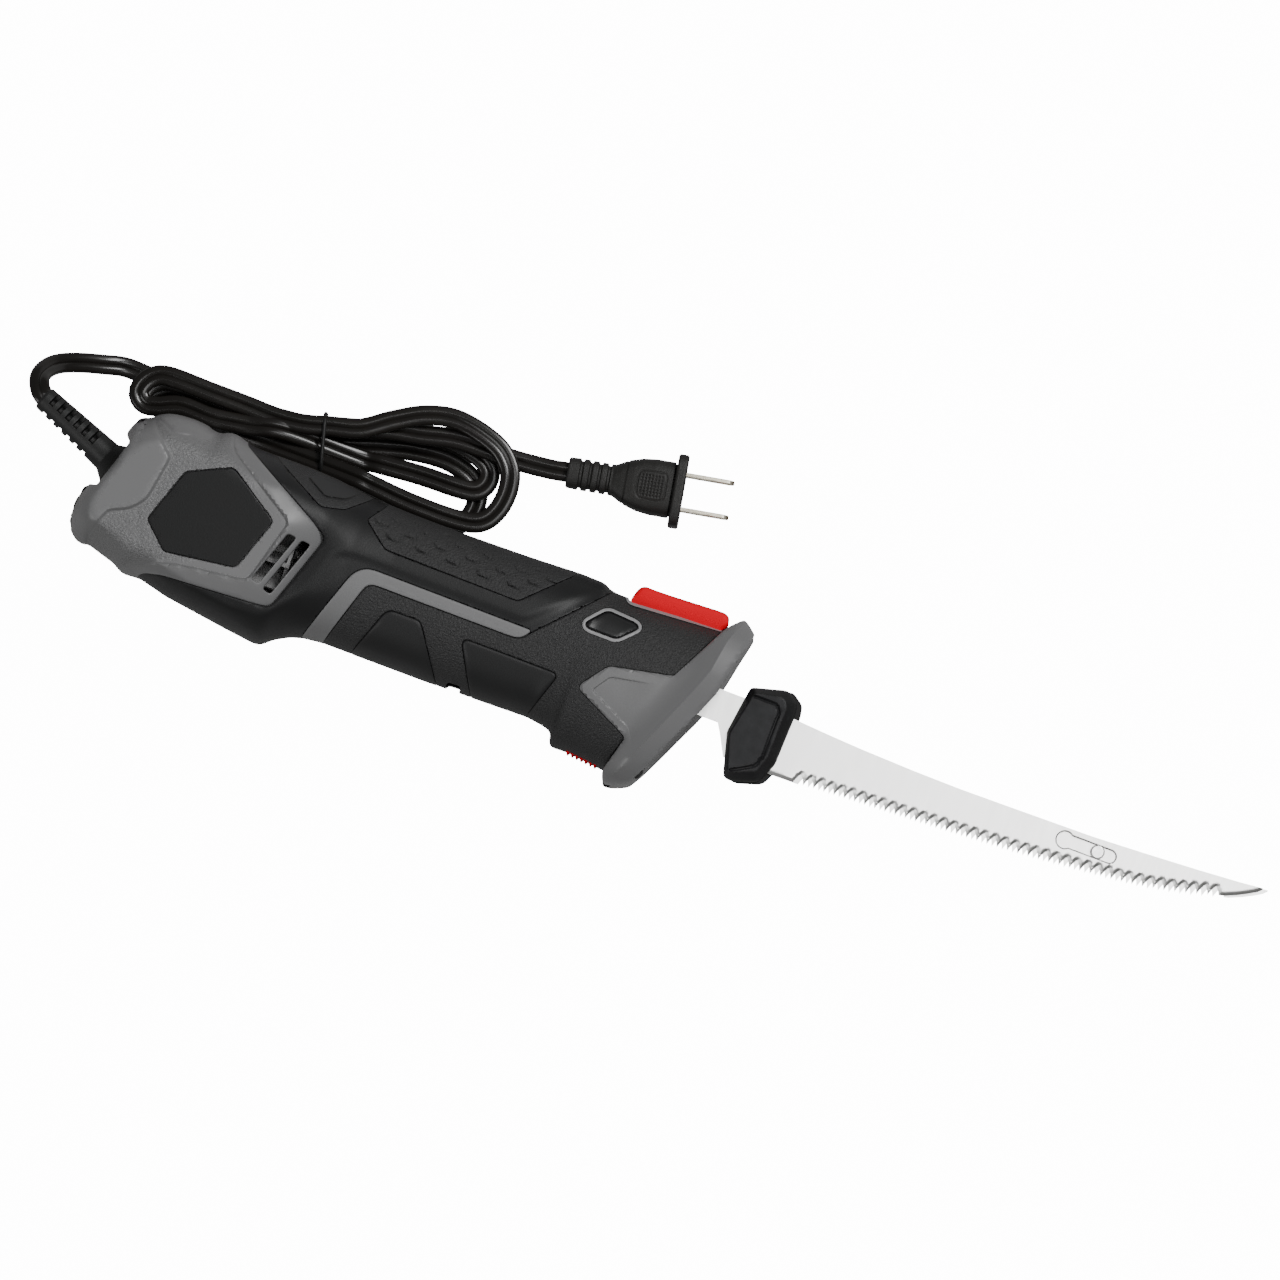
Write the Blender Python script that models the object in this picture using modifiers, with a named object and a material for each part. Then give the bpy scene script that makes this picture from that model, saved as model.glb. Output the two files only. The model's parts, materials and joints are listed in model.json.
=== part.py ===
"""Electric fillet knife with twin reciprocating blades, lying on its side.

The knife is drawn in its own millimetre frame: X runs along the blades towards the tip, Y towards the
thumb switch, Z out of the label side, and Z = 0 is the parting plane of the two housing halves.
"""
import math

import bmesh
import bpy
import numpy as np
from mathutils import Matrix, Vector

MM = 0.001

# Whole knife
HALF_THICKNESS = 30.0        # parting plane to the table, on either side
GAP = 0.3                    # seat clearance between touching pieces
HAIR = 0.2                   # running clearance between flat sliding faces

# Handle skin: where it starts and ends, and its rounding
HANDLE_REAR = -241.0
HANDLE_FRONT = -4.0
SKIN_POWER = 2.35            # 2 is an ellipse, more is squarer
SKIN_SIDES = 20
SKIN_SPARE = 0.3             # loft outside the side outline
WALL = 3.4                   # housing wall with its soft or trim layer
INLAY = 1.5                  # thickness of soft layers and trim let into the wall
PARTING = 0.15               # half the gap between the housing halves

# Side outline of the handle, from the rear lobe along the belly and back along the top
BELLY_LINE = [
    (-237.9, -5.7), (-239.8, -17.5), (-238.0, -23.4), (-232.9, -26.7), (-229.6, -25.8),
    (-220.0, -28.3), (-215.8, -31.1), (-209.2, -30.5), (-190.0, -34.6), (-160.0, -37.9),
    (-155.8, -34.2), (-150.0, -31.2), (-139.0, -29.2), (-52.5, -29.0), (-50.2, -30.4),
    (-48.3, -35.25), (-28.3, -36.5), (-16.0, -36.5)]
BACK_LINE = [
    (-2.0, 26.4), (-38.0, 25.0), (-47.0, 25.0), (-51.7, 27.1), (-60.0, 27.1), (-125.0, 25.7),
    (-140.0, 26.0), (-154.0, 28.0), (-189.6, 28.5), (-195.8, 30.2), (-199.6, 28.7),
    (-203.3, 28.7), (-204.6, 29.75), (-216.7, 29.2), (-221.7, 27.9), (-225.0, 25.0),
    (-229.2, 21.7), (-230.8, 17.9), (-227.5, 14.4), (-233.75, -4.6)]

# Skin stations: place along the knife, top, bottom and half thickness before the flats are cut
SKIN_STATIONS = [
    (HANDLE_REAR, 27.0, -27.0, 22.0), (-237.5, 30.0, -29.0, 31.0), (-230.0, 31.0, -30.0, 36.0),
    (-216.0, 31.0, -32.0, 36.5), (-205.0, 31.0, -32.5, 36.5), (-190.0, 31.0, -35.5, 36.5),
    (-166.0, 29.0, -38.3, 35.0), (-158.0, 28.6, -38.0, 31.5), (-150.0, 28.0, -32.3, 28.0),
    (-139.0, 26.6, -29.8, 25.0), (-125.0, 26.2, -29.4, 23.5), (-90.0, 26.9, -29.4, 23.0),
    (-60.0, 27.4, -29.4, 23.0), (-51.5, 27.4, -30.0, 23.4), (-47.0, 26.0, -36.0, 24.0),
    (-30.0, 26.3, -36.9, 25.0), (HANDLE_FRONT, 26.8, -37.5, 26.0)]

# Trim outlines in the side view
GREY_REAR = [
    (-245.0, -40.0), (-209.2, -40.0), (-209.2, -30.4), (-206.7, -28.3), (-200.0, -26.2),
    (-161.7, -23.8), (-159.6, -22.9), (-150.2, 5.0), (-151.7, 8.3), (-188.8, 28.2),
    (-192.0, 40.0), (-245.0, 40.0)]
LABEL_PLATE = [
    (-211.8, -9.4), (-201.7, -18.3), (-177.9, -15.0), (-176.2, -14.2), (-170.0, 4.6),
    (-170.4, 6.7), (-188.3, 17.9), (-190.0, 18.2), (-205.2, 10.8)]
TOP_INSERT = [(-177.2, 28.4), (-156.7, 17.1), (-147.1, 18.5), (-139.8, 26.2), (-139.8, 40.0), (-177.2, 40.0)]
GRIP_PAD = [
    (-133.3, 25.2), (-138.6, 17.9), (-129.2, 10.4), (-76.7, 9.8), (-61.2, 26.5), (-61.2, 40.0),
    (-133.3, 40.0)]
STRIPE = [
    (-150.1, -40.0), (-146.0, -30.0), (-135.0, -2.5), (-133.2, 0.7), (-130.4, 1.7), (-69.2, 1.5),
    (-71.6, -1.4), (-75.0, -2.9), (-127.9, -2.7), (-130.8, -4.6), (-138.3, -29.2), (-141.6, -40.0)]
SOFT_GRIP = [
    (-141.0, -40.0), (-138.0, -29.2), (-130.4, -5.0), (-127.6, -3.0), (-74.8, -3.2), (-71.2, -1.7),
    (-68.9, 1.5), (-47.1, 25.0), (-44.0, 40.0), (6.0, 40.0), (6.0, -40.0)]
REAR_PANEL = [
    (-132.0, -40.0), (-127.5, -31.0), (-120.2, -10.8), (-118.2, -9.3), (-108.8, -9.3),
    (-106.7, -10.6), (-94.2, -29.6), (-90.0, -40.0)]
FRONT_PANEL = [
    (-78.0, -40.0), (-81.0, -29.6), (-90.8, -11.4), (-90.4, -10.0), (-56.2, -10.0), (-55.3, -11.0),
    (-61.2, -29.0), (-63.0, -40.0)]
PANEL_PROUD = 0.8            # finger panels stand out of the soft grip
VENT_SLOTS = [
    [(-163.1, 3.5), (-159.8, 3.2), (-166.7, -17.2), (-169.8, -16.4)],
    [(-157.7, 2.8), (-154.2, 2.5), (-161.5, -19.4), (-164.8, -18.5)]]
NOTCH_REAR = -91.5           # lanyard notch across the belly
NOTCH_FRONT = -86.2
NOTCH_TOP = -26.5

# Colours, roughness and metal of each finish
FINISHES = {
    "black_plastic": ((0.022, 0.022, 0.023), 0.38, 0.0),
    "soft_black": ((0.032, 0.032, 0.033), 0.72, 0.0),
    "grey_plastic": ((0.22, 0.22, 0.22), 0.5, 0.0),
    "light_grey": ((0.30, 0.30, 0.30), 0.45, 0.0),
    "label_black": ((0.018, 0.018, 0.018), 0.35, 0.0),
    "red_plastic": ((0.72, 0.02, 0.025), 0.35, 0.0),
    "clip_plastic": ((0.045, 0.045, 0.047), 0.5, 0.0),
    "blade_steel": ((0.74, 0.73, 0.71), 0.25, 1.0),
    "plain_steel": ((0.55, 0.55, 0.55), 0.35, 1.0),
    "core_steel": ((0.35, 0.35, 0.36), 0.5, 1.0),
    "copper": ((0.72, 0.33, 0.16), 0.4, 1.0),
    "brass": ((0.78, 0.62, 0.32), 0.3, 1.0),
    "cast_alloy": ((0.5, 0.5, 0.52), 0.5, 1.0),
    "white_nylon": ((0.75, 0.74, 0.70), 0.45, 0.0),
    "brown_board": ((0.20, 0.10, 0.05), 0.6, 0.0),
    "cord_black": ((0.02, 0.018, 0.017), 0.4, 0.0),
}


def start_scene():
    """Empties the scene and makes the two collections."""
    for old in list(bpy.data.objects):
        bpy.data.objects.remove(old, do_unlink=True)
    made = []
    for name in ("electric_fillet_knife", "cutters"):
        collection = bpy.data.collections.new(name)
        bpy.context.scene.collection.children.link(collection)
        made.append(collection)
    return made


PARTS, CUTTERS = start_scene()


def finish(name):
    """The Principled material of a finish, made on first use."""
    material = bpy.data.materials.get(name)
    if material is None:
        colour, roughness, metal = FINISHES[name]
        material = bpy.data.materials.new(name)
        material.use_nodes = True
        shader = material.node_tree.nodes["Principled BSDF"]
        shader.inputs["Base Color"].default_value = (*colour, 1.0)
        shader.inputs["Roughness"].default_value = roughness
        shader.inputs["Metallic"].default_value = metal
        material.diffuse_color = (*colour, 1.0)
    return material


def empty(name, place, parent=None):
    """An empty that carries moving pieces; place is in the knife's frame, in millimetres."""
    holder = bpy.data.objects.new(name, None)
    holder.empty_display_size = 0.01
    PARTS.objects.link(holder)
    holder.parent = parent
    base = Vector(parent["place"]) if parent else Vector((0.0, 0.0, 0.0))
    holder["place"] = list(place)
    holder.location = (Vector(place) - base) * MM
    return holder


LENGTH_REAR = -239.8         # rear lobe
LENGTH_TIP = 211.0           # blade tips
GUARD_FOOT = -41.2           # lowest point of the guard
GUARD_HEAD = 31.9            # highest point of the guard
KNIFE = empty("knife", (0.0, 0.0, 0.0))
KNIFE.location = Vector((
    -(LENGTH_REAR + LENGTH_TIP) / 2, -(GUARD_FOOT + GUARD_HEAD) / 2, HALF_THICKNESS)) * MM


def place_object(name, mesh, look=None, parent=None):
    """Links a mesh whose points are in knife millimetres; a look makes it a part, none a cutter."""
    holder = parent or KNIFE
    mesh.transform(Matrix.Scale(MM, 4) @ Matrix.Translation(-Vector(holder["place"])))
    made = bpy.data.objects.new(name, mesh)
    made.parent = holder
    if look:
        mesh.materials.append(finish(look))
        PARTS.objects.link(made)
        mesh.shade_smooth()
        mesh.set_sharp_from_angle(angle=math.radians(32.0))
    else:
        CUTTERS.objects.link(made)
        made.hide_render = True
        made.display_type = "WIRE"
    return made


def boolean(target, tool, operation="DIFFERENCE"):
    """Cuts, keeps or joins with another object, exactly."""
    step = target.modifiers.new(operation.lower() + "_" + tool.name, "BOOLEAN")
    step.operation = operation
    step.solver = "EXACT"
    step.object = tool
    return target


def mesh_from(name, work, flat=False):
    """Turns a bmesh into a mesh with its faces pointing out; flat splits bent quads into triangles."""
    if flat:
        bent = [face for face in work.faces if len(face.verts) == 4]
        bmesh.ops.triangulate(work, faces=bent)
    bmesh.ops.recalc_face_normals(work, faces=work.faces[:])
    mesh = bpy.data.meshes.new(name)
    work.to_mesh(mesh)
    work.free()
    return mesh


def prism_mesh(name, outline, low, high):
    """An outline in the XY plane, extruded from low to high along Z."""
    work = bmesh.new()
    floor = [work.verts.new((x, y, low)) for x, y in outline]
    face = work.faces.new(floor)
    lifted = bmesh.ops.extrude_face_region(work, geom=[face])
    moved = [item for item in lifted["geom"] if isinstance(item, bmesh.types.BMVert)]
    bmesh.ops.translate(work, verts=moved, vec=(0.0, 0.0, high - low))
    return mesh_from(name, work)


def grow(outline, distance):
    """The outline moved outwards by a distance, each corner along its mitre."""
    points = [Vector(point) for point in outline]
    area = sum(a.x * b.y - b.x * a.y for a, b in zip(points, points[1:] + points[:1]))
    turn = 1.0 if area > 0 else -1.0
    grown = []
    for before, here, after in zip(points[-1:] + points[:-1], points, points[1:] + points[:1]):
        first = (here - before).normalized()
        second = (after - here).normalized()
        normal_a = Vector((first.y, -first.x)) * turn
        normal_b = Vector((second.y, -second.x)) * turn
        mitre = (normal_a + normal_b).normalized()
        grown.append(tuple(here + mitre * distance / max(mitre.dot(normal_a), 0.5)))
    return grown


def box_mesh(name, low, high):
    """A box between two corners."""
    work = bmesh.new()
    bmesh.ops.create_cube(work, size=1.0)
    size = Vector(high) - Vector(low)
    middle = (Vector(high) + Vector(low)) / 2
    bmesh.ops.scale(work, vec=size, verts=work.verts[:])
    bmesh.ops.translate(work, vec=middle, verts=work.verts[:])
    return mesh_from(name, work)


AXIS_TURNS = {"X": Matrix.Rotation(math.pi / 2, 4, "Y"), "Y": Matrix.Rotation(-math.pi / 2, 4, "X"),
              "Z": Matrix.Identity(4)}


def turned_mesh(name, axis, centre, profile, sides=24):
    """A turned piece: profile holds (distance along the axis, radius), swept round the axis."""
    work = bmesh.new()
    rings = []
    for along, radius in profile:
        angles = [2 * math.pi * step / sides for step in range(sides)]
        rings.append([work.verts.new((radius * math.cos(a), radius * math.sin(a), along)) for a in angles])
    for lower, upper in zip(rings, rings[1:]):
        for step in range(sides):
            following = (step + 1) % sides
            work.faces.new((lower[step], lower[following], upper[following], upper[step]))
    work.faces.new(rings[0])
    work.faces.new(rings[-1])
    bmesh.ops.transform(work, matrix=Matrix.Translation(centre) @ AXIS_TURNS[axis], verts=work.verts[:])
    return mesh_from(name, work)


def station_at(x):
    """Top, bottom and half thickness of the skin at a place along the knife."""
    places = [row[0] for row in SKIN_STATIONS]
    return [float(np.interp(x, places, [row[k] for row in SKIN_STATIONS])) for k in (1, 2, 3)]


def skin_height(x, y, inset=0.0):
    """Half thickness of the skin at a point of the side view, before the flats are cut."""
    top, bottom, half = station_at(x)
    reach = min(abs((y - (top + bottom) / 2) / ((top - bottom) / 2 - inset)), 1.0)
    return (half - inset) * (1.0 - reach ** SKIN_POWER) ** (1.0 / SKIN_POWER)


def skin_mesh(name, inset=0.0, rear=HANDLE_REAR, front=HANDLE_FRONT, sides=SKIN_SIDES):
    """A loft of rounded sections between two places along the knife, each drawn in by the inset."""
    places = [rear] + [row[0] for row in SKIN_STATIONS if rear < row[0] < front] + [front]
    work = bmesh.new()
    rings = []
    for x in places:
        top, bottom, half = station_at(x)
        middle, tall = (top + bottom) / 2, (top - bottom) / 2 - inset
        ring = []
        for step in range(sides):
            angle = 2 * math.pi * (step + 0.5) / sides
            across, up = math.cos(angle), math.sin(angle)
            y = middle + tall * math.copysign(abs(across) ** (2 / SKIN_POWER), across)
            z = (half - inset) * math.copysign(abs(up) ** (2 / SKIN_POWER), up)
            ring.append(work.verts.new((x, y, z)))
        rings.append(ring)
    for one, two in zip(rings, rings[1:]):
        for step in range(sides):
            following = (step + 1) % sides
            work.faces.new((one[step], one[following], two[following], two[step]))
    work.faces.new(rings[0])
    work.faces.new(rings[-1])
    return mesh_from(name, work, flat=True)


FAR_OUT = 60.0               # past every side of the knife


def slab(name, half):
    """A cutter that keeps what lies within half the given thickness of the parting plane."""
    return place_object(name, box_mesh(name, (-300.0, -FAR_OUT, -half), (60.0, FAR_OUT, half)))


SIDE_OUTLINE = BELLY_LINE + BACK_LINE
OUTER = place_object("outer_skin", skin_mesh("outer_skin"))
boolean(OUTER, slab("outer_slab", HALF_THICKNESS), "INTERSECT")
boolean(OUTER, place_object("side_form", prism_mesh("side_form", SIDE_OUTLINE, -FAR_OUT, FAR_OUT)), "INTERSECT")
BED = place_object("inlay_bed", skin_mesh("inlay_bed", INLAY + SKIN_SPARE))
boolean(BED, slab("bed_slab", HALF_THICKNESS - INLAY), "INTERSECT")
FLOOR = place_object("recess_floor", skin_mesh("recess_floor", INLAY + SKIN_SPARE + GAP))
boolean(FLOOR, slab("floor_slab", HALF_THICKNESS - INLAY - GAP), "INTERSECT")


def whole_prism(name, outline):
    """A prism through the whole thickness of the knife."""
    return place_object(name, prism_mesh(name, outline, -FAR_OUT, FAR_OUT))


def let_in(name, outline, look, proud=0.0, side=0):
    """A layer let into the skin inside a side outline; side 1 or -1 keeps one face of the handle only."""
    low = 0.0 if side > 0 else -FAR_OUT
    high = 0.0 if side < 0 else FAR_OUT
    piece = place_object(name, prism_mesh(name, outline, low, high), look)
    if proud:
        boolean(piece, PROUD_SKIN, "INTERSECT")
    else:
        boolean(piece, OUTER, "INTERSECT")
    return boolean(piece, BED)


def recess(name, outlines):
    """One cutter that makes room for some layers, a seat gap wider and deeper than they are."""
    first, *others = [whole_prism(f"{name}_{index}", grow(outline, GAP)) for index, outline in enumerate(outlines)]
    for other in others:
        boolean(first, other, "UNION")
    return boolean(first, FLOOR)


PROUD_SKIN = place_object("proud_skin", skin_mesh("proud_skin", -PANEL_PROUD))

# Guard: side outline, and the flare from the handle to the rim
GUARD_OUTLINE = [
    (0.2, GUARD_HEAD), (5.8, 27.9), (5.4, 26.2), (0.2, 4.2), (-4.2, -5.0), (-17.1, -35.4),
    (-17.6, -37.0), (-25.8, GUARD_FOOT), (-27.5, -39.6), (-27.9, -36.5), (-25.4, -21.7),
    (-44.6, -12.8), (-45.8, -10.8), (-38.8, -0.6), (-16.5, 4.0), (-5.4, 26.2), (-2.5, 29.2)]
GUARD_WALL = 3.0             # front wall of the guard
GUARD_FACE_LINE = [(6.6, 31.0), (0.2, 4.2), (-4.2, -5.0), (-17.6, -37.0)]
GUARD_LEAN = 0.36            # how far the rim leans forward for each millimetre up
GUARD_FLARE = [(-23.0, 31.5, 25.0), (-14.0, 37.6, 27.4), (-7.0, 38.4, 30.6), (12.0, 38.4, 30.6)]
GUARD_POWER = 2.9
TANG_SLOT_HALF = 6.6         # half height of the blade slot in the guard
TANG_SLOT_DEEP = 1.9         # half thickness of the blade slot


def behind_face(distance):
    """A side outline that holds everything further behind the guard's face than a distance."""
    edge = [(x - distance, y) for x, y in GUARD_FACE_LINE]
    return [(-300.0, edge[-1][1] - 30.0), (edge[-1][0] - 12.0, edge[-1][1] - 30.0)] + edge[::-1] + [
        (edge[0][0] + 6.0, edge[0][1] + 25.0), (-300.0, edge[0][1] + 25.0)]


def guard_rim_mesh():
    """Loft of leaning rounded sections that widen from the handle to the rim."""
    work = bmesh.new()
    rings = []
    middle = (GUARD_HEAD + GUARD_FOOT) / 2
    for ahead, tall, half in GUARD_FLARE:
        ring = []
        for step in range(SKIN_SIDES):
            angle = 2 * math.pi * (step + 0.5) / SKIN_SIDES
            across, up = math.cos(angle), math.sin(angle)
            y = middle + tall * math.copysign(abs(across) ** (2 / GUARD_POWER), across)
            z = half * math.copysign(abs(up) ** (2 / GUARD_POWER), up)
            ring.append(work.verts.new((ahead + GUARD_LEAN * y, y, z)))
        rings.append(ring)
    for one, two in zip(rings, rings[1:]):
        for step in range(SKIN_SIDES):
            following = (step + 1) % SKIN_SIDES
            work.faces.new((one[step], one[following], two[following], two[step]))
    work.faces.new(rings[0])
    work.faces.new(rings[-1])
    return mesh_from("guard_rim", work, flat=True)


def build_guard():
    """The grey guard: a flared rim, two wings along the handle and a front wall with the blade slot."""
    guard = place_object("guard", prism_mesh("guard", GUARD_OUTLINE, -FAR_OUT, FAR_OUT), "grey_plastic")
    form = place_object("guard_form", guard_rim_mesh())
    boolean(form, PROUD_SKIN, "UNION")
    boolean(form, slab("guard_slab", HALF_THICKNESS), "INTERSECT")
    boolean(guard, form, "INTERSECT")
    bore = whole_prism("guard_bore", behind_face(GUARD_WALL))
    boolean(bore, BED, "INTERSECT")
    boolean(guard, bore)
    slot_low = (-40.0, -TANG_SLOT_HALF, -TANG_SLOT_DEEP)
    slot_high = (20.0, TANG_SLOT_HALF, TANG_SLOT_DEEP)
    boolean(guard, place_object("tang_slot", box_mesh("tang_slot", slot_low, slot_high)))
    return guard


build_guard()

# Thumb switch on the back of the handle
SWITCH_OUTLINE = [
    (-39.6, 21.6), (-39.6, 25.0), (-38.8, 28.6), (-37.6, 29.9), (-36.0, 30.2), (-26.7, 30.0),
    (-7.2, 31.4), (-5.4, 31.0), (-4.8, 29.8), (-6.2, 28.0), (-9.4, 21.6)]
SWITCH_HALF = 9.0
SWITCH_TRAVEL = 2.0
SWITCH_EDGE = 1.6
TRIM_RIM = 1.4               # light trim round the switch opening
# Cross button that locks the switch, pushed through from side to side
LOCK_OUTLINE = [(-46.2, 17.6), (-35.4, 17.1), (-34.1, 15.8), (-40.0, 9.6), (-51.2, 9.6), (-52.3, 11.0)]
LOCK_TRAVEL = 1.5
BEZEL_RIM = 1.5
# Blade release button under the chin
RELEASE_REAR = -42.8
RELEASE_FRONT = -30.2
RELEASE_HALF = 6.0
RELEASE_TRAVEL = 2.5
RELEASE_RIBS = 7

# Motor, worm and crank drive
SHAFT_Y = -3.0
SHAFT_RADIUS = 2.5
SHAFT_REAR = -225.0
SHAFT_FRONT = -54.5
BEARINGS = {"rear_bearing": (-225.4, -220.6, 6.5), "front_bearing": (-151.0, -146.0, 8.0),
            "nose_bearing": (-58.5, -54.5, 5.5)}
STATOR_REAR = -208.0
STATOR_FRONT = -181.0
STATOR_RADIUS = 20.0
ARMATURE_RADIUS = STATOR_RADIUS - 7.4
AIR_GAP = 0.6
COIL_REACH = 3.5             # coil heads past the stack
COIL_LOW = STATOR_RADIUS - 5.8       # field coils, measured out from the shaft's line
COIL_HIGH = STATOR_RADIUS - 3.2
COIL_OUTER = 0.44 * STATOR_RADIUS    # half width of a coil
COIL_INNER = COIL_OUTER - 3.6
COMMUTATOR_REAR = -218.4
COMMUTATOR_FRONT = -212.4
COMMUTATOR_RADIUS = 7.0
BRUSH_LENGTH = 12.0
BRUSH_HALF = 3.0
FAN_REAR = -170.0
FAN_FRONT = -158.5
FAN_RADIUS = 17.5
BORE_PLAY = 0.08             # turning fits
WORM_REAR = -88.0
WORM_FRONT = -62.0
WORM_RADIUS = 3.6
WHEEL_X = -76.0
WHEEL_Y = 9.4
WHEEL_HALF = 3.0
WHEEL_TEETH = 24
WHEEL_RADIUS = 8.4
TOOTH_DEPTH = 0.9
AXLE_RADIUS = 1.6
AXLE_TOP = 9.7
CRANK_THROW = 3.2            # half of each blade's stroke
REST_LEAD = 1.0              # how far each blade stands from mid stroke at rest
CAM_RADIUS = 5.6             # eccentric on each face of the wheel
CAM_REACH = 1.5
CARRIER_LOW = 4.9            # carrier plates, measured from the parting plane
CARRIER_HIGH = 6.9
ARM_LOW = 3.7
ARM_HIGH = 9.0

# Ribs of the housing that carry the inner pieces, as places along the knife
STATOR_RIBS = [(-206.0, -203.0), (-186.0, -183.0)]
BRUSH_RIB = (-218.0, -212.6)
SWITCH_BLOCK_HALF = 8.0
CAVITY_REAR = -221.0
CAVITY_SIDES = 12
CAVITY_FRONT = -6.0
GEAR_PAD_TOP = -10.5         # far shell carries the gear frame here
GEAR_FRAME_THICK = 2.4
SCREWS = {"screw_rear": (-219.5, 20.0), "screw_belly": (-152.0, -22.5), "screw_back": (-150.5, 13.4),
          "screw_grip": (-112.0, 5.8)}
SCREW_HEAD = 3.2
SCREW_SHANK = 1.5
SCREW_SUNK = 1.2
SCREW_END = 10.0             # how far the shank runs past the parting plane
BOSS_RADIUS = 4.4


def cylinder(name, axis, centre, radius, low, high, sides=24, look=None, parent=None):
    """A plain cylinder along an axis; low and high are measured from the centre."""
    return place_object(name, turned_mesh(name, axis, centre, [(low, radius), (high, radius)], sides), look, parent)


def along_x(name, radius, rear, front, sides=24, look=None, parent=None):
    """A cylinder round the motor shaft's line."""
    return cylinder(name, "X", (0.0, SHAFT_Y, 0.0), radius, rear, front, sides, look, parent)


def brush_box(side, spare=0.0):
    """Corners of a brush holder above (1) or below (-1) the commutator."""
    near = COMMUTATOR_RADIUS + 0.5
    ends = sorted((SHAFT_Y + side * (near - 2 * spare), SHAFT_Y + side * (near + BRUSH_LENGTH + spare)))
    low = (COMMUTATOR_REAR + 1.0 - spare, ends[0], -BRUSH_HALF - spare)
    return low, (COMMUTATOR_FRONT - 1.0 + spare, ends[1], BRUSH_HALF + spare)


def build_cavity():
    """The hollow of the housing: the inner skin, less ribs, pad and bosses, plus the bearing seats."""
    inner = skin_mesh("cavity", WALL + SKIN_SPARE, CAVITY_REAR, CAVITY_FRONT, CAVITY_SIDES)
    hollow = place_object("cavity", inner)
    boolean(hollow, slab("cavity_slab", HALF_THICKNESS - WALL), "INTERSECT")
    solid_parts = [BEARINGS["front_bearing"][:2], BEARINGS["nose_bearing"][:2], BRUSH_RIB] + STATOR_RIBS
    for index, (rear, front) in enumerate(solid_parts):
        rib = box_mesh(f"rib_{index}", (rear + GAP, -FAR_OUT, -FAR_OUT), (front - GAP, FAR_OUT, FAR_OUT))
        boolean(hollow, place_object(f"rib_{index}", rib))
    pads = [
        ((-94.0, -22.0, -FAR_OUT), (-62.0, 21.0, GEAR_PAD_TOP - GEAR_FRAME_THICK - GAP)),
        ((-28.0, 10.5, -FAR_OUT), (-15.0, 17.7, -SWITCH_BLOCK_HALF - GAP)),
        ((-28.0, 10.5, SWITCH_BLOCK_HALF + GAP), (-15.0, 17.7, FAR_OUT))]
    for index, (low, high) in enumerate(pads):
        boolean(hollow, place_object(f"pad_{index}", box_mesh("pad", low, high)))
    boolean(hollow, cylinder("axle_boss", "Z", (WHEEL_X, WHEEL_Y, 0.0), 4.0, AXLE_TOP + GAP, FAR_OUT, 16))
    for name, (x, y) in SCREWS.items():
        boolean(hollow, cylinder("boss_" + name, "Z", (x, y, 0.0), BOSS_RADIUS, -FAR_OUT, FAR_OUT, 16))
    for name, (rear, front, radius) in BEARINGS.items():
        seat = along_x("seat_" + name, radius + GAP, rear - GAP, front + GAP, 16)
        boolean(hollow, seat, "UNION")
    for side in (1, -1):
        ends = sorted((side * (CARRIER_LOW - GAP), side * (CARRIER_HIGH + GAP)))
        low = (BEARINGS["nose_bearing"][0] - 2.0, ARM_LOW - GAP, ends[0])
        high = (BEARINGS["nose_bearing"][1] + 2.0, ARM_HIGH + GAP, ends[1])
        boolean(hollow, place_object(f"arm_window_{side}", box_mesh("arm_window", low, high)), "UNION")
    boolean(hollow, along_x("brush_bore", COMMUTATOR_RADIUS + 1.5, BRUSH_RIB[0] - 1.0, BRUSH_RIB[1] + 1.0), "UNION")
    for side in (1, -1):
        low, high = brush_box(side, GAP)
        boolean(hollow, place_object(f"brush_slot_{side}", box_mesh("brush_slot", low, high)), "UNION")
    bore = along_x("stator_bore", STATOR_RADIUS + GAP, STATOR_RIBS[0][0] - 1.0, STATOR_RIBS[1][1] + 1.0, 32)
    boolean(hollow, bore, "UNION")
    return hollow


CAVITY = build_cavity()
LABEL_RECESS = recess("label_recess", [LABEL_PLATE])
GRIP_RECESS = recess("grip_recess", [TOP_INSERT, GRIP_PAD, STRIPE, SOFT_GRIP, GUARD_OUTLINE])
VENTS = [whole_prism(f"vent_{index}", slot) for index, slot in enumerate(VENT_SLOTS)]
NOTCH = place_object("notch", box_mesh("notch", (NOTCH_REAR, -FAR_OUT, -FAR_OUT), (NOTCH_FRONT, NOTCH_TOP, FAR_OUT)))
LOCK_HOLE = whole_prism("lock_hole", grow(LOCK_OUTLINE, GAP))
SWITCH_HOLE = place_object("switch_hole", box_mesh(
    "switch_hole", (-39.6 - GAP, 15.0, -SWITCH_HALF - GAP), (10.0, FAR_OUT, SWITCH_HALF + GAP)))
RELEASE_HOLE = place_object("release_hole", box_mesh(
    "release_hole", (RELEASE_REAR - GAP, -FAR_OUT, -RELEASE_HALF - GAP),
    (RELEASE_FRONT + GAP, -20.0, RELEASE_HALF + GAP)))
NOSE = boolean(slab("nose", FAR_OUT - 1.0), whole_prism("behind_nose", behind_face(GUARD_WALL + GAP)))

# Strain relief at the rear, along its own leaning line
RELIEF_BASE = (-231.4, 4.7)
RELIEF_LEAN = 157.5          # degrees from +X
RELIEF_LENGTH = 34.5
RELIEF_COLLAR = 8.0
RELIEF_NECK = 5.9
RELIEF_END = 4.7
RELIEF_RIBS = 6
RELIEF_SUNK = 3.5


def leaning(profile, sides=20):
    """A turned mesh along the strain relief's line; the profile's distances run outwards from its base."""
    mesh = turned_mesh("leaning", "X", (0.0, 0.0, 0.0), profile, sides)
    turn = Matrix.Rotation(math.radians(RELIEF_LEAN), 4, "Z")
    mesh.transform(Matrix.Translation((*RELIEF_BASE, 0.0)) @ turn)
    return mesh


RELIEF_HOLE = place_object("relief_hole", leaning(
    [(-RELIEF_SUNK - GAP, RELIEF_COLLAR + GAP), (9.0, RELIEF_COLLAR + GAP)]))


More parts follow.
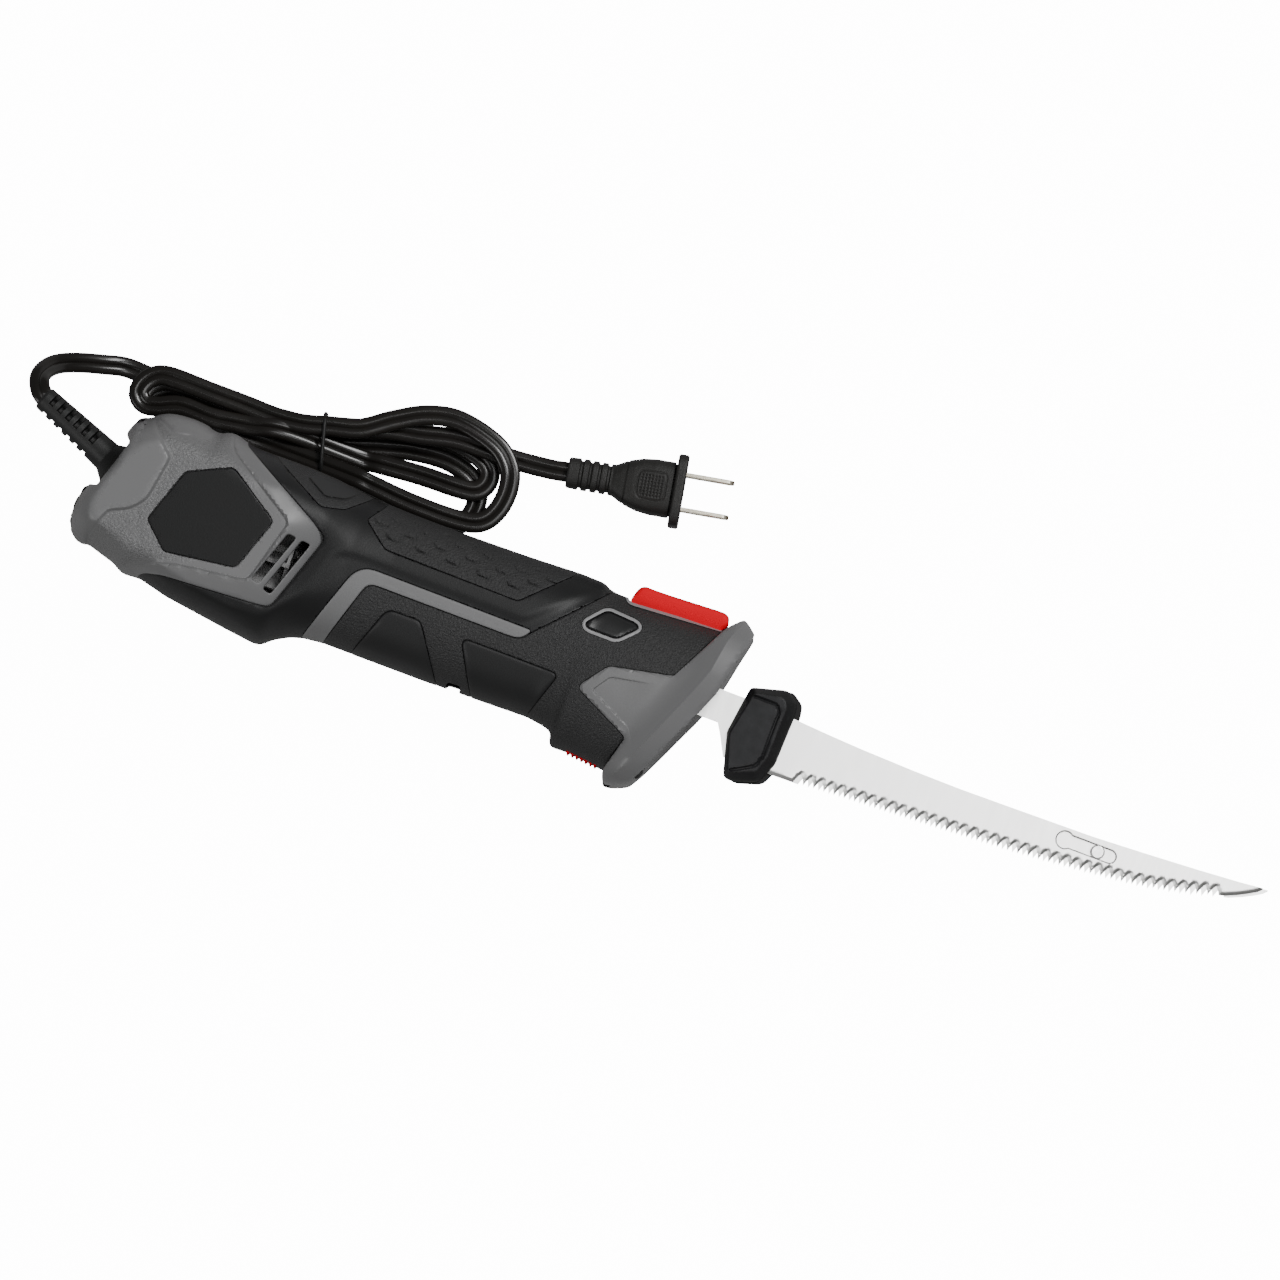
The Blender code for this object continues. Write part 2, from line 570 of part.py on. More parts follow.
def screw_top(x, y):
    """Depth of a screw head's outer face on the far side."""
    return -min(skin_height(x, y), HALF_THICKNESS) + SCREW_SUNK


def build_screws():
    """Housing screws driven from the far side, and the stepped holes that take them."""
    holes = []
    for name, (x, y) in SCREWS.items():
        top = screw_top(x, y)
        profile = [(top, SCREW_HEAD), (top + 2.2, SCREW_HEAD), (top + 2.2, SCREW_SHANK), (SCREW_END, SCREW_SHANK)]
        place_object(name, turned_mesh(name, "Z", (x, y, 0.0), profile, 12), "plain_steel")
        head, shank = SCREW_HEAD + GAP, SCREW_SHANK + GAP
        room = [(-FAR_OUT, head), (top + 2.2 + GAP, head), (top + 2.2 + GAP, shank), (SCREW_END + GAP, shank)]
        holes.append(place_object("hole_" + name, turned_mesh(name, "Z", (x, y, 0.0), room, 12)))
    return holes


SCREW_HOLES = build_screws()


def build_shells():
    """The four housing shells: grey at the rear, black along the grip, split at the parting plane."""
    grey_room = whole_prism("grey_room", grow(GREY_REAR, GAP))
    for side, word in ((1, "near"), (-1, "far")):
        low = PARTING if side > 0 else -FAR_OUT
        high = FAR_OUT if side > 0 else -PARTING
        rear = place_object("rear_shell_" + word, prism_mesh("rear_shell", GREY_REAR, low, high), "grey_plastic")
        boolean(rear, OUTER, "INTERSECT")
        for tool in (CAVITY, LABEL_RECESS, RELIEF_HOLE, *VENTS):
            boolean(rear, tool)
        body = box_mesh("grip_shell", (-250.0, -FAR_OUT, low), (HANDLE_FRONT - GAP, FAR_OUT, high))
        grip = place_object("grip_shell_" + word, body, "black_plastic")
        boolean(grip, OUTER, "INTERSECT")
        tools = [grey_room, CAVITY, NOSE, GRIP_RECESS, NOTCH, LOCK_HOLE, SWITCH_HOLE, RELEASE_HOLE]
        for tool in tools:
            boolean(grip, tool)
        for name, hole in zip(SCREWS, SCREW_HOLES):
            boolean(rear if name == "screw_rear" else grip, hole)


build_shells()


def build_trim():
    """Label plates, top insert, grip pad, stripe, finger panels and the soft grip."""
    for side, word in ((1, "near"), (-1, "far")):
        let_in("label_plate_" + word, LABEL_PLATE, "label_black", side=side)
    let_in("top_insert", TOP_INSERT, "soft_black")
    let_in("grip_pad", GRIP_PAD, "soft_black")
    let_in("accent_stripe", STRIPE, "light_grey")
    let_in("rear_finger_panel", REAR_PANEL, "black_plastic", PANEL_PROUD)
    let_in("front_finger_panel", FRONT_PANEL, "black_plastic", PANEL_PROUD)
    soft = let_in("soft_grip", SOFT_GRIP, "soft_black")
    outlines = (("guard", GUARD_OUTLINE), ("rear_panel", REAR_PANEL), ("front_panel", FRONT_PANEL))
    for name, outline in outlines:
        boolean(soft, whole_prism("soft_room_" + name, grow(outline, GAP)))
    boolean(soft, whole_prism("bezel_room", grow(LOCK_OUTLINE, BEZEL_RIM + 2 * GAP)))
    rim = TRIM_RIM + 2 * GAP
    trim_room = box_mesh("trim_room", (-39.6 - rim, 15.0, -SWITCH_HALF - rim), (10.0, FAR_OUT, SWITCH_HALF + rim))
    boolean(soft, place_object("trim_room", trim_room))
    for tool in (NOTCH, RELEASE_HOLE, boolean(slab("soft_nose", FAR_OUT - 2.0), place_object(
            "soft_keep", prism_mesh("soft_keep", behind_face(GUARD_WALL + 2 * GAP), -FAR_OUT, FAR_OUT)))):
        boolean(soft, tool)


build_trim()


def stacked_mesh(name, layers):
    """A solid through outlines of equal point counts, each at its own height."""
    work = bmesh.new()
    rings = [[work.verts.new((x, y, z)) for x, y in outline] for outline, z in layers]
    count = len(rings[0])
    for one, two in zip(rings, rings[1:]):
        for step in range(count):
            following = (step + 1) % count
            work.faces.new((one[step], one[following], two[following], two[step]))
    work.faces.new(rings[0])
    work.faces.new(rings[-1])
    return mesh_from(name, work, flat=True)


def ring_mesh(name, axis, centre, inner, outer, low, high, sides=24):
    """A plain ring or sleeve."""
    work = bmesh.new()
    profile = [(low, outer), (high, outer), (high, inner), (low, inner)]
    turns = [2 * math.pi * step / sides for step in range(sides)]
    rings = [[work.verts.new((r * math.cos(a), r * math.sin(a), h)) for a in turns] for h, r in profile]
    for one, two in zip(rings, rings[1:] + rings[:1]):
        for step in range(sides):
            following = (step + 1) % sides
            work.faces.new((one[step], one[following], two[following], two[step]))
    bmesh.ops.transform(work, matrix=Matrix.Translation(centre) @ AXIS_TURNS[axis], verts=work.verts[:])
    return mesh_from(name, work)


def rounded(target, width, segments=2, angle=30.0):
    """Rounds the sharp edges of a part."""
    edge = target.modifiers.new("rounded_edges", "BEVEL")
    edge.width = width * MM
    edge.segments = segments
    edge.limit_method = "ANGLE"
    edge.angle_limit = math.radians(angle)
    return target


def build_controls():
    """Thumb switch with its trim, the cross lock with its bezels, and the blade release."""
    thumb = empty("thumb_switch_axis", (-21.0, 26.0, 0.0), KNIFE)
    switch = prism_mesh("thumb_switch", SWITCH_OUTLINE, -SWITCH_HALF, SWITCH_HALF)
    rounded(place_object("thumb_switch", switch, "red_plastic", thumb), SWITCH_EDGE, 2, 50.0)

    rim = TRIM_RIM
    inner = SWITCH_HALF + GAP
    front = -4.2
    trim = box_mesh("switch_trim", (-39.6 - GAP - rim, 10.0, -inner - rim), (front, FAR_OUT, inner + rim))
    trim = place_object("switch_trim", trim, "light_grey")
    boolean(trim, OUTER, "INTERSECT")
    boolean(trim, BED)
    boolean(trim, SWITCH_HOLE)
    guard_room = whole_prism("trim_guard_room", grow(GUARD_OUTLINE, GAP))
    boolean(trim, guard_room)

    lock = empty("lock_button_axis", (-43.0, 13.6, 0.0), KNIFE)
    button = place_object("lock_button", prism_mesh("lock_button", LOCK_OUTLINE, -FAR_OUT, FAR_OUT), "label_black", lock)
    boolean(button, OUTER, "INTERSECT")
    for side, word in ((1, "near"), (-1, "far")):
        low, high = (0.0, FAR_OUT) if side > 0 else (-FAR_OUT, 0.0)
        bezel = prism_mesh("bezel", grow(LOCK_OUTLINE, BEZEL_RIM + GAP), low, high)
        bezel = place_object("lock_bezel_" + word, bezel, "light_grey")
        boolean(bezel, OUTER, "INTERSECT")
        boolean(bezel, BED)
        boolean(bezel, LOCK_HOLE)

    release = empty("release_button_axis", (-36.5, -34.0, 0.0), KNIFE)
    pitch = (RELEASE_FRONT - RELEASE_REAR) / RELEASE_RIBS
    outline = [(RELEASE_FRONT, -28.5), (RELEASE_REAR, -28.5)]
    for rib in range(RELEASE_RIBS):
        start = RELEASE_REAR + rib * pitch
        foot = -35.0 - 0.09 * (start - RELEASE_REAR)
        outline += [(start + 0.15 * pitch, foot), (start + 0.35 * pitch, foot - 0.9),
                    (start + 0.65 * pitch, foot - 0.9), (start + 0.85 * pitch, foot)]
    body = prism_mesh("release_button", outline, -RELEASE_HALF, RELEASE_HALF)
    place_object("release_button", body, "red_plastic", release)

    block = box_mesh("switch_block", (-31.0, 9.8, -SWITCH_BLOCK_HALF), (-12.0, 18.4, SWITCH_BLOCK_HALF))
    rounded(place_object("switch_block", block, "brown_board"), 1.0, 1)


build_controls()

# Blades: spine and edge in the side view, and the serration
BLADE_THICK = 1.0
EDGE_THICK = 0.25
TANG_REAR = -30.0
TANG_HALF = 5.8
SPINE_LINE = [
    (12.0, 5.8), (30.0, 4.9), (42.0, 4.1), (55.0, 3.4), (77.0, 2.7), (95.0, 2.5), (116.0, 2.8),
    (145.0, 3.3), (165.0, 4.3), (185.0, 5.5), (200.0, 6.6), (207.0, 7.3), (208.7, 7.5)]
EDGE_LINE = [
    (28.0, -16.7), (37.5, -16.5), (60.0, -15.4), (80.0, -14.5), (100.0, -13.4), (120.0, -12.2), (140.0, -10.5),
    (149.3, -9.6), (160.6, -8.4), (168.3, -7.3), (176.0, -5.8), (183.5, -4.0), (191.2, -1.7), (195.0, -0.4)]
TIP_EDGE = [(196.6, 0.0), (201.0, 1.9), (205.0, 4.0), (207.6, 5.6), (209.0, 7.0)]
HEEL = [(4.6, -TANG_HALF), (6.7, -9.2), (10.8, -16.8)]
TEETH = 41
FIRST_TOOTH = 37.5
TOOTH_PITCH = 3.84
GULLET_DEPTH = 3.9
GULLET_SHAPE = [(0.0, 0.0), (0.32, 0.95), (0.64, 0.95)]
GRIND_WIDTH = 7.0
KEYHOLE_EYE = (136.3, -1.3)
KEYHOLE_EYE_RADIUS = 3.0
KEYHOLE_HALF = 2.2
KEYHOLE_END = 153.6
RIVET_X = 148.8
RIVET_HEAD = 2.7
RIVET_SHANK = 1.7
CLIP_OUTLINE = [
    (11.8, 10.0), (13.3, 11.0), (23.8, 13.5), (25.8, 12.9), (29.6, 9.6), (27.5, -19.2), (25.0, -22.1),
    (15.0, -24.6), (13.3, -23.3), (9.0, -7.5)]
CLIP_SIDE = 4.6              # straight side of a clip half, from the parting plane
CLIP_FACE = 7.6
CLIP_SLOPE = 2.2
CLIP_PAD = 0.8
PEG_X = -20.0
PEG_RADIUS = 2.2


def spine_at(x):
    """Height of the blade's back."""
    return float(np.interp(x, [p[0] for p in SPINE_LINE], [p[1] for p in SPINE_LINE]))


def edge_points():
    """The cutting edge from heel to tip: plain, then the gullets, then the plain tip."""
    xs, ys = [p[0] for p in EDGE_LINE], [p[1] for p in EDGE_LINE]
    points = [EDGE_LINE[0]]
    for tooth in range(TEETH):
        for part, depth in GULLET_SHAPE:
            x = FIRST_TOOTH + (tooth + part) * TOOTH_PITCH
            foot = float(np.interp(x, xs, ys))
            cut = min(GULLET_DEPTH, 0.5 * (spine_at(x) - foot))
            points.append((x, foot + depth * cut))
    last = FIRST_TOOTH + TEETH * TOOTH_PITCH
    points.append((last, float(np.interp(last, xs, ys))))
    return points + TIP_EDGE


def blade_mesh(name, side, shift):
    """One blade: flat inside, hollow ground along its outer edge; side is 1 for near, -1 for far."""
    inner, outer = side * HAIR / 2, side * (HAIR / 2 + BLADE_THICK)
    thin = side * (HAIR / 2 + EDGE_THICK)
    edge = edge_points()
    xs, ys = [p[0] for p in EDGE_LINE + TIP_EDGE], [p[1] for p in EDGE_LINE + TIP_EDGE]
    back = [(TANG_REAR, TANG_HALF - 1.0), (TANG_REAR + 1.0, TANG_HALF)] + SPINE_LINE
    tang = HEEL[::-1] + [(TANG_REAR + 1.0, -TANG_HALF), (TANG_REAR, 1.0 - TANG_HALF)]
    work = bmesh.new()

    def row(points, z):
        return [work.verts.new((x + shift, y, z)) for x, y in points]

    edge_in, edge_out = row(edge, inner), row(edge, thin)
    held = [0, 1] + list(range(1 + 3, 1 + 3 * TEETH, 3)) + list(range(1 + 3 * TEETH, len(edge)))
    grind = [edge[0]]
    for k in held[1:]:
        x = edge[k][0]
        foot = float(np.interp(x, xs, ys))
        grind.append((x, foot + min(GRIND_WIDTH, 0.62 * (spine_at(x) - foot))))
    grind_out = row(grind, outer)
    back_in, back_out = row(back, inner), row(back, outer)
    tang_in, tang_out = row(tang, inner), row(tang, outer)
    work.faces.new(edge_in + back_in[::-1] + tang_in[::-1])
    work.faces.new(grind_out + back_out[::-1] + tang_out[::-1])
    for k in range(len(edge) - 1):
        work.faces.new((edge_in[k], edge_in[k + 1], edge_out[k + 1], edge_out[k]))
    for k in range(len(held) - 1):
        work.faces.new(edge_out[held[k]:held[k + 1] + 1] + [grind_out[k + 1], grind_out[k]])
    for low, high in ((back_in, back_out), (tang_in, tang_out)):
        for k in range(len(low) - 1):
            work.faces.new((low[k], low[k + 1], high[k + 1], high[k]))
    work.faces.new((edge_in[-1], back_in[-1], back_out[-1], grind_out[-1], edge_out[-1]))
    work.faces.new((tang_in[-1], back_in[0], back_out[0], tang_out[-1]))
    work.faces.new((edge_in[0], edge_out[0], grind_out[0], tang_out[0], tang_in[0]))
    return mesh_from(name, work, flat=True)


def slot_outline(centre_a, centre_b, radius_a, radius_b, steps=8):
    """A slot between two round ends of their own radii, along X."""
    points = []
    for step in range(steps + 1):
        angle = math.pi / 2 + math.pi * step / steps
        points.append((centre_a[0] + radius_a * math.cos(angle), centre_a[1] + radius_a * math.sin(angle)))
    for step in range(steps + 1):
        angle = -math.pi / 2 + math.pi * step / steps
        points.append((centre_b[0] + radius_b * math.cos(angle), centre_b[1] + radius_b * math.sin(angle)))
    return points


def carrier_mesh(side, shift):
    """Plate with the cam yoke and its arm; the yoke is cut out afterwards."""
    x, y = WHEEL_X + shift, WHEEL_Y
    half_x, half_y = CAM_RADIUS + 2.4, CAM_RADIUS + CRANK_THROW + 2.0
    outline = [
        (x - half_x, y - half_y), (x + half_x, y - half_y), (x + half_x, ARM_LOW), (-29.0 + shift, ARM_LOW),
        (-26.0 + shift, -4.0), (-14.0 + shift, -4.0), (-14.0 + shift, ARM_HIGH), (x + half_x, ARM_HIGH),
        (x + half_x, y + half_y), (x - half_x, y + half_y)]
    ends = sorted((side * CARRIER_LOW, side * CARRIER_HIGH))
    return prism_mesh("carrier", outline, *ends)


def build_blade(side, word):
    """A blade with its clip half and its carrier, all on one slide."""
    shift = 0.0 if side > 0 else 2 * REST_LEAD
    slide = empty(word + "_blade_axis", (0.0, 0.0, side * (HAIR + BLADE_THICK) / 2), KNIFE)
    blade = place_object(word + "_blade", blade_mesh("blade", side, shift), "blade_steel", slide)
    cut_low, cut_high = sorted((side * -0.05, side * 3.0))
    if side > 0:
        x, y = KEYHOLE_EYE
        eye = cylinder("keyhole_eye", "Z", (x, y, 0.0), KEYHOLE_EYE_RADIUS, cut_low, cut_high, 20)
        slot = slot_outline((x, y), (KEYHOLE_END, y), KEYHOLE_HALF, KEYHOLE_HALF)
        slot = place_object("keyhole_slot", prism_mesh("keyhole_slot", slot, cut_low, cut_high))
        boolean(slot, eye, "UNION")
        boolean(blade, slot)
    else:
        hole = cylinder("rivet_hole", "Z", (RIVET_X, KEYHOLE_EYE[1], 0.0), RIVET_SHANK + GAP, cut_low, cut_high, 16)
        boolean(blade, hole)
    face = HAIR / 2 + BLADE_THICK
    peg_x = PEG_X + (shift - REST_LEAD)
    peg_hole = cylinder(f"peg_hole_{word}", "Z", (peg_x, 0.0, 0.0), PEG_RADIUS + GAP, cut_low, cut_high, 16)
    boolean(blade, peg_hole)

    outline = [(x + shift, y) for x, y in CLIP_OUTLINE]
    layers = [(outline, side * HAIR * 0.75), (outline, side * CLIP_SIDE), (grow(outline, -CLIP_SLOPE), side * CLIP_FACE)]
    panel = grow(outline, -CLIP_SLOPE - 1.2)
    layers += [(panel, side * CLIP_FACE), (grow(panel, -0.4), side * (CLIP_FACE + CLIP_PAD))]
    clip = place_object(word + "_clip", stacked_mesh("clip", layers), "clip_plastic", slide)
    pocket_z = sorted((side * -1.0, side * (face + GAP)))
    pocket = box_mesh("pocket", (-20.0, -17.2, pocket_z[0]), (60.0, TANG_HALF + GAP, pocket_z[1]))
    boolean(clip, place_object("pocket_" + word, pocket))

    carrier = place_object(word + "_carrier", carrier_mesh(side, shift - REST_LEAD), "white_nylon", slide)
    foot_z = sorted((side * (face + GAP), side * (CARRIER_LOW + 0.5)))
    foot_x = shift - REST_LEAD
    foot = box_mesh("foot", (-26.0 + foot_x, -3.9, foot_z[0]), (-14.1 + foot_x, 5.4, foot_z[1]))
    foot = place_object("foot_" + word, foot)
    peg_z = sorted((side * (HAIR / 2 + 0.2), side * (CARRIER_LOW + 0.4)))
    boolean(foot, cylinder("peg_" + word, "Z", (peg_x, 0.0, 0.0), PEG_RADIUS, *peg_z, 16), "UNION")
    boolean(carrier, foot, "UNION")
    yoke_x = WHEEL_X + shift - REST_LEAD
    half_x, half_y = CAM_RADIUS + GAP, CAM_RADIUS + CRANK_THROW + 0.4
    yoke = box_mesh("yoke", (yoke_x - half_x, WHEEL_Y - half_y, -20.0), (yoke_x + half_x, WHEEL_Y + half_y, 20.0))
    boolean(carrier, place_object("yoke_" + word, yoke))
    return slide


def build_blades():
    """Both blades, and the rivet of the far one that keeps the near one against it."""
    build_blade(1, "near")
    far = build_blade(-1, "far")
    face = HAIR / 2 + BLADE_THICK
    tail, head = -face - 0.7, face + HAIR
    profile = [(tail, RIVET_SHANK + 0.9), (-face - GAP / 2, RIVET_SHANK + 0.9), (-face - GAP / 2, RIVET_SHANK),
               (head, RIVET_SHANK), (head, RIVET_HEAD), (head + 0.6, RIVET_HEAD - 0.5)]
    rivet = turned_mesh("blade_rivet", "Z", (RIVET_X, KEYHOLE_EYE[1], 0.0), profile, 14)
    place_object("blade_rivet", rivet, "plain_steel", far)


build_blades()


def turned_prism(name, axis, centre, outline, low, high):
    """A prism whose outline lies square to an axis; low and high are measured from the centre."""
    mesh = prism_mesh(name, outline, low, high)
    mesh.transform(Matrix.Translation(centre) @ AXIS_TURNS[axis])
    return mesh


def toothed(count, root, tip, width=0.5):
    """Outline of a wheel with blunt teeth; width is the share of the pitch that a tooth takes."""
    points = []
    for tooth in range(count):
        for share, radius in ((-0.5 * width, root), (-0.22 * width, tip), (0.22 * width, tip), (0.5 * width, root)):
            angle = 2 * math.pi * (tooth + share) / count
            points.append((radius * math.cos(angle), radius * math.sin(angle)))
    return points


def zigzag(count, root, tip):
    """Outline of a finely toothed wheel with pointed teeth."""
    turns = [math.pi * step / count for step in range(2 * count)]
    radii = [tip, root] * count
    return [(r * math.cos(a), r * math.sin(a)) for r, a in zip(radii, turns)]


def build_motor():
    """Stator with its two coils, rotor, brushes and bearings."""
    centre = (0.0, SHAFT_Y, 0.0)
    bore = SHAFT_RADIUS + BORE_PLAY
    stack = ring_mesh("stator_core", "X", centre, ARMATURE_RADIUS + AIR_GAP, STATOR_RADIUS, STATOR_REAR, STATOR_FRONT)
    stack = place_object("stator_core", stack, "core_steel")
    for side, word in ((1, "near"), (-1, "far")):
        name = "field_coil_" + word
        for kind, spare in (("coil", 0.0), ("room", GAP)):
            ends = sorted((side * (COIL_LOW - spare), side * (COIL_HIGH + spare)))
            reach = COIL_REACH if kind == "coil" else COIL_REACH + 5.0
            outer = box_mesh(name, (STATOR_REAR - reach, SHAFT_Y - COIL_OUTER - spare, ends[0]),
                             (STATOR_FRONT + reach, SHAFT_Y + COIL_OUTER + spare, ends[1]))
            hole = box_mesh(name, (STATOR_REAR - 1.4, SHAFT_Y - COIL_INNER + spare, -FAR_OUT),
                            (STATOR_FRONT + 1.4, SHAFT_Y + COIL_INNER - spare, FAR_OUT))
            hole = place_object(f"{name}_{kind}_hole", hole)
            made = place_object(name if kind == "coil" else name + "_room", outer, "copper" if kind == "coil" else None)
            boolean(made, hole)
            if kind == "coil":
                rounded(made, 1.0, 1)
            else:
                boolean(stack, made)

    rotor = empty("rotor_axis", (-150.0, SHAFT_Y, 0.0), KNIFE)
    pitch = 2 * math.pi * WHEEL_RADIUS / WHEEL_TEETH
    profile = [(SHAFT_REAR, SHAFT_RADIUS), (WORM_REAR, SHAFT_RADIUS)]
    for ridge in range(int((WORM_FRONT - WORM_REAR) / pitch)):
        start = WORM_REAR + ridge * pitch
        profile += [(start + 0.45 * pitch, WORM_RADIUS), (start + 0.9 * pitch, SHAFT_RADIUS)]
    profile.append((SHAFT_FRONT, SHAFT_RADIUS))
    shaft = turned_mesh("motor_shaft", "X", centre, profile, 12)
    place_object("motor_shaft", shaft, "plain_steel", rotor)
    armature = toothed(12, ARMATURE_RADIUS - 4.0, ARMATURE_RADIUS, 0.86)
    armature = turned_prism("armature_core", "X", centre, armature, STATOR_REAR + 0.5, STATOR_FRONT - 0.5)
    commutator = toothed(12, COMMUTATOR_RADIUS - 0.8, COMMUTATOR_RADIUS, 0.9)
    commutator = turned_prism("commutator", "X", centre, commutator, COMMUTATOR_REAR, COMMUTATOR_FRONT)
    blades = toothed(9, 5.0, FAN_RADIUS, 0.24)
    blades = turned_prism("fan", "X", centre, blades, FAN_REAR, FAN_FRONT)
    for name, mesh, look in (("armature_core", armature, "core_steel"), ("commutator", commutator, "copper"),
                             ("fan", blades, "white_nylon")):
        made = place_object(name, mesh, look, rotor)
        if name == "fan":
            disc = along_x("fan_disc", FAN_RADIUS - 0.6, FAN_FRONT - 1.4, FAN_FRONT - 0.2, 18)
            boolean(made, disc, "UNION")
        hole = turned_mesh(name + "_bore", "X", centre, [(SHAFT_REAR - 5.0, bore), (SHAFT_FRONT + 5.0, bore)], 16)
        boolean(made, place_object(name + "_bore", hole))

    for name, (rear, front, radius) in BEARINGS.items():
        place_object(name, ring_mesh(name, "X", centre, bore, radius, rear, front, 16), "brass")
    for side, word in ((1, "upper"), (-1, "lower")):
        place_object("brush_holder_" + word, box_mesh("brush_holder", *brush_box(side)), "brass")


def build_gears():
    """Worm wheel with an eccentric on each face, its axle and the cast frame that carries it."""
    wheel_axis = empty("worm_wheel_axis", (WHEEL_X, WHEEL_Y, 0.0), KNIFE)
    centre = (WHEEL_X, WHEEL_Y, 0.0)
    outline = zigzag(WHEEL_TEETH, WHEEL_RADIUS - TOOTH_DEPTH, WHEEL_RADIUS)
    wheel = turned_prism("worm_wheel", "Z", centre, outline, -WHEEL_HALF, WHEEL_HALF)
    wheel = place_object("worm_wheel", wheel, "white_nylon", wheel_axis)
    lead = math.asin(REST_LEAD / CRANK_THROW)
    for side, word in ((1, "near"), (-1, "far")):
        x = WHEEL_X - side * CRANK_THROW * math.sin(lead)
        y = WHEEL_Y + side * CRANK_THROW * math.cos(lead)
        ends = sorted((side * 1.0, side * (WHEEL_HALF + CAM_REACH)))
        boolean(wheel, cylinder("cam_" + word, "Z", (x, y, 0.0), CAM_RADIUS, *ends, 16), "UNION")
    boolean(wheel, cylinder("wheel_bore", "Z", centre, AXLE_RADIUS + BORE_PLAY, -20.0, 20.0, 16))

    cylinder("wheel_axle", "Z", centre, AXLE_RADIUS, GEAR_PAD_TOP + GAP, AXLE_TOP, 16, "plain_steel")
    floor = GEAR_PAD_TOP - GEAR_FRAME_THICK
    frame = box_mesh("gear_frame", (-90.0, -12.0, floor), (-64.0, 18.0, GEAR_PAD_TOP))
    frame = rounded(place_object("gear_frame", frame, "cast_alloy"), 1.0, 1)
    boolean(frame, cylinder("frame_post", "Z", centre, 4.2, floor + 0.5, -CARRIER_HIGH - 0.8, 16), "UNION")
    boolean(frame, cylinder("axle_seat", "Z", centre, AXLE_RADIUS + BORE_PLAY, GEAR_PAD_TOP, 20.0, 16))


def build_front():
    """Plate and bumper on the guard's face, and the strain relief at the rear."""
    ahead = [(p[0], p[1]) for p in ((-8.36, -14.8), (-14.98, -30.4))]
    (top_x, top_y), (foot_x, foot_y) = ahead
    forward = (0.9206, -0.3907)
    near, far = 0.2, 1.2
    outline = [(top_x + forward[0] * near, top_y + forward[1] * near), (top_x + forward[0] * far, top_y + forward[1] * far),
               (foot_x + forward[0] * far, foot_y + forward[1] * far), (foot_x + forward[0] * near, foot_y + forward[1] * near)]
    place_object("front_plate", prism_mesh("front_plate", outline, -12.0, 12.0), "black_plastic")
    nub = turned_mesh("guard_bumper", "X", (0.0, 0.0, 0.0), [(0.2, 2.0), (1.2, 2.0), (1.7, 1.3)], 16)
    nub.transform(Matrix.Translation((-16.1, -33.0, 0.0)) @ Matrix.Rotation(math.radians(-23.0), 4, "Z"))
    place_object("guard_bumper", nub, "soft_black")

    profile = [(-RELIEF_SUNK, RELIEF_COLLAR), (3.5, RELIEF_COLLAR), (4.5, RELIEF_NECK)]
    pitch = (RELIEF_LENGTH - 8.0) / RELIEF_RIBS
    for rib in range(RELIEF_RIBS):
        start = 5.5 + rib * pitch
        share = rib / RELIEF_RIBS
        radius = RELIEF_NECK + (RELIEF_END - RELIEF_NECK) * share
        profile += [(start, radius), (start + 0.6 * pitch, radius), (start + 0.8 * pitch, radius - 1.1)]
    profile += [(RELIEF_LENGTH - 2.0, RELIEF_END), (RELIEF_LENGTH, RELIEF_END - 0.4)]
    place_object("strain_relief", leaning(profile, 12), "soft_black")


build_motor()
build_gears()
build_front()


# Cord: a flat twin lead, wound into a hank beside the handle
CORD_WIDTH = 5.8
CORD_THICK = 2.9
STEP_UP = CORD_THICK + 0.45          # from one layer of the hank to the next
STEP_ACROSS = CORD_WIDTH + 0.45      # between runs side by side
TIE_X = -165.0               # waist of the hank, where the tie goes round
TIE_Y = 38.55
TIE_THICK = 0.9
TIE_WIDTH = 1.8
FIRST_LAYER = -HALF_THICKNESS + TIE_THICK + GAP + CORD_THICK / 2 + 0.02
LEFT_Y = 41.6                # upper runs of the left lobe
# Loops in winding order: layer, slot of the upper run at the waist, right lobe (end, top, bottom), left end
LOOPS = [(0, 0, (-106.9, 54.5, 31.0), -238.0), (1, 1, (-101.4, 60.0, 29.6), -231.2),
         (3, 1, (-95.4, 65.2, 28.4), -234.1), (2, 1, None, -232.6)]
# Lower runs: layer at the right and at the left, slot at the waist, start of the climb, height beside the housing
LOWER_RUNS = [(0, 1, -1, -158.0, 29.8), (1, 3, -1, -151.0, 32.8), (3, 2, 0, -151.0, 31.5)]
LOBE_X = -121.0              # widest place of the right lobe
TAIL_LAYER = 2
TOP_LAYER = 3
LEAD_ROUTE = [
    (-263.64, 18.06, 0.0), (-269.2, 20.35, -0.4), (-273.4, 25.6, -6.0), (-271.4, 32.2, -13.0),
    (-264.0, 37.2, -19.6), (-254.5, 40.6, -24.6), (-246.0, 41.5, -27.1), (-238.3, LEFT_Y, FIRST_LAYER)]
PLUG_LEAN = 12.05            # degrees from +X
PLUG_START = (-79.3, 58.2)
PLUG_RELIEF = 17.6
PLUG_BODY = 41.3
PLUG_FACE = 44.6
PRONG_LENGTH = 17.1
PRONG_SPACING = 12.7
PRONG_WIDTH = 6.35
PRONG_THICK = 1.5
PRONG_SUNK = 4.0


def layer_height(layer):
    """Height of a layer of the hank; layer 0 lies on the tie."""
    return FIRST_LAYER + STEP_UP * layer


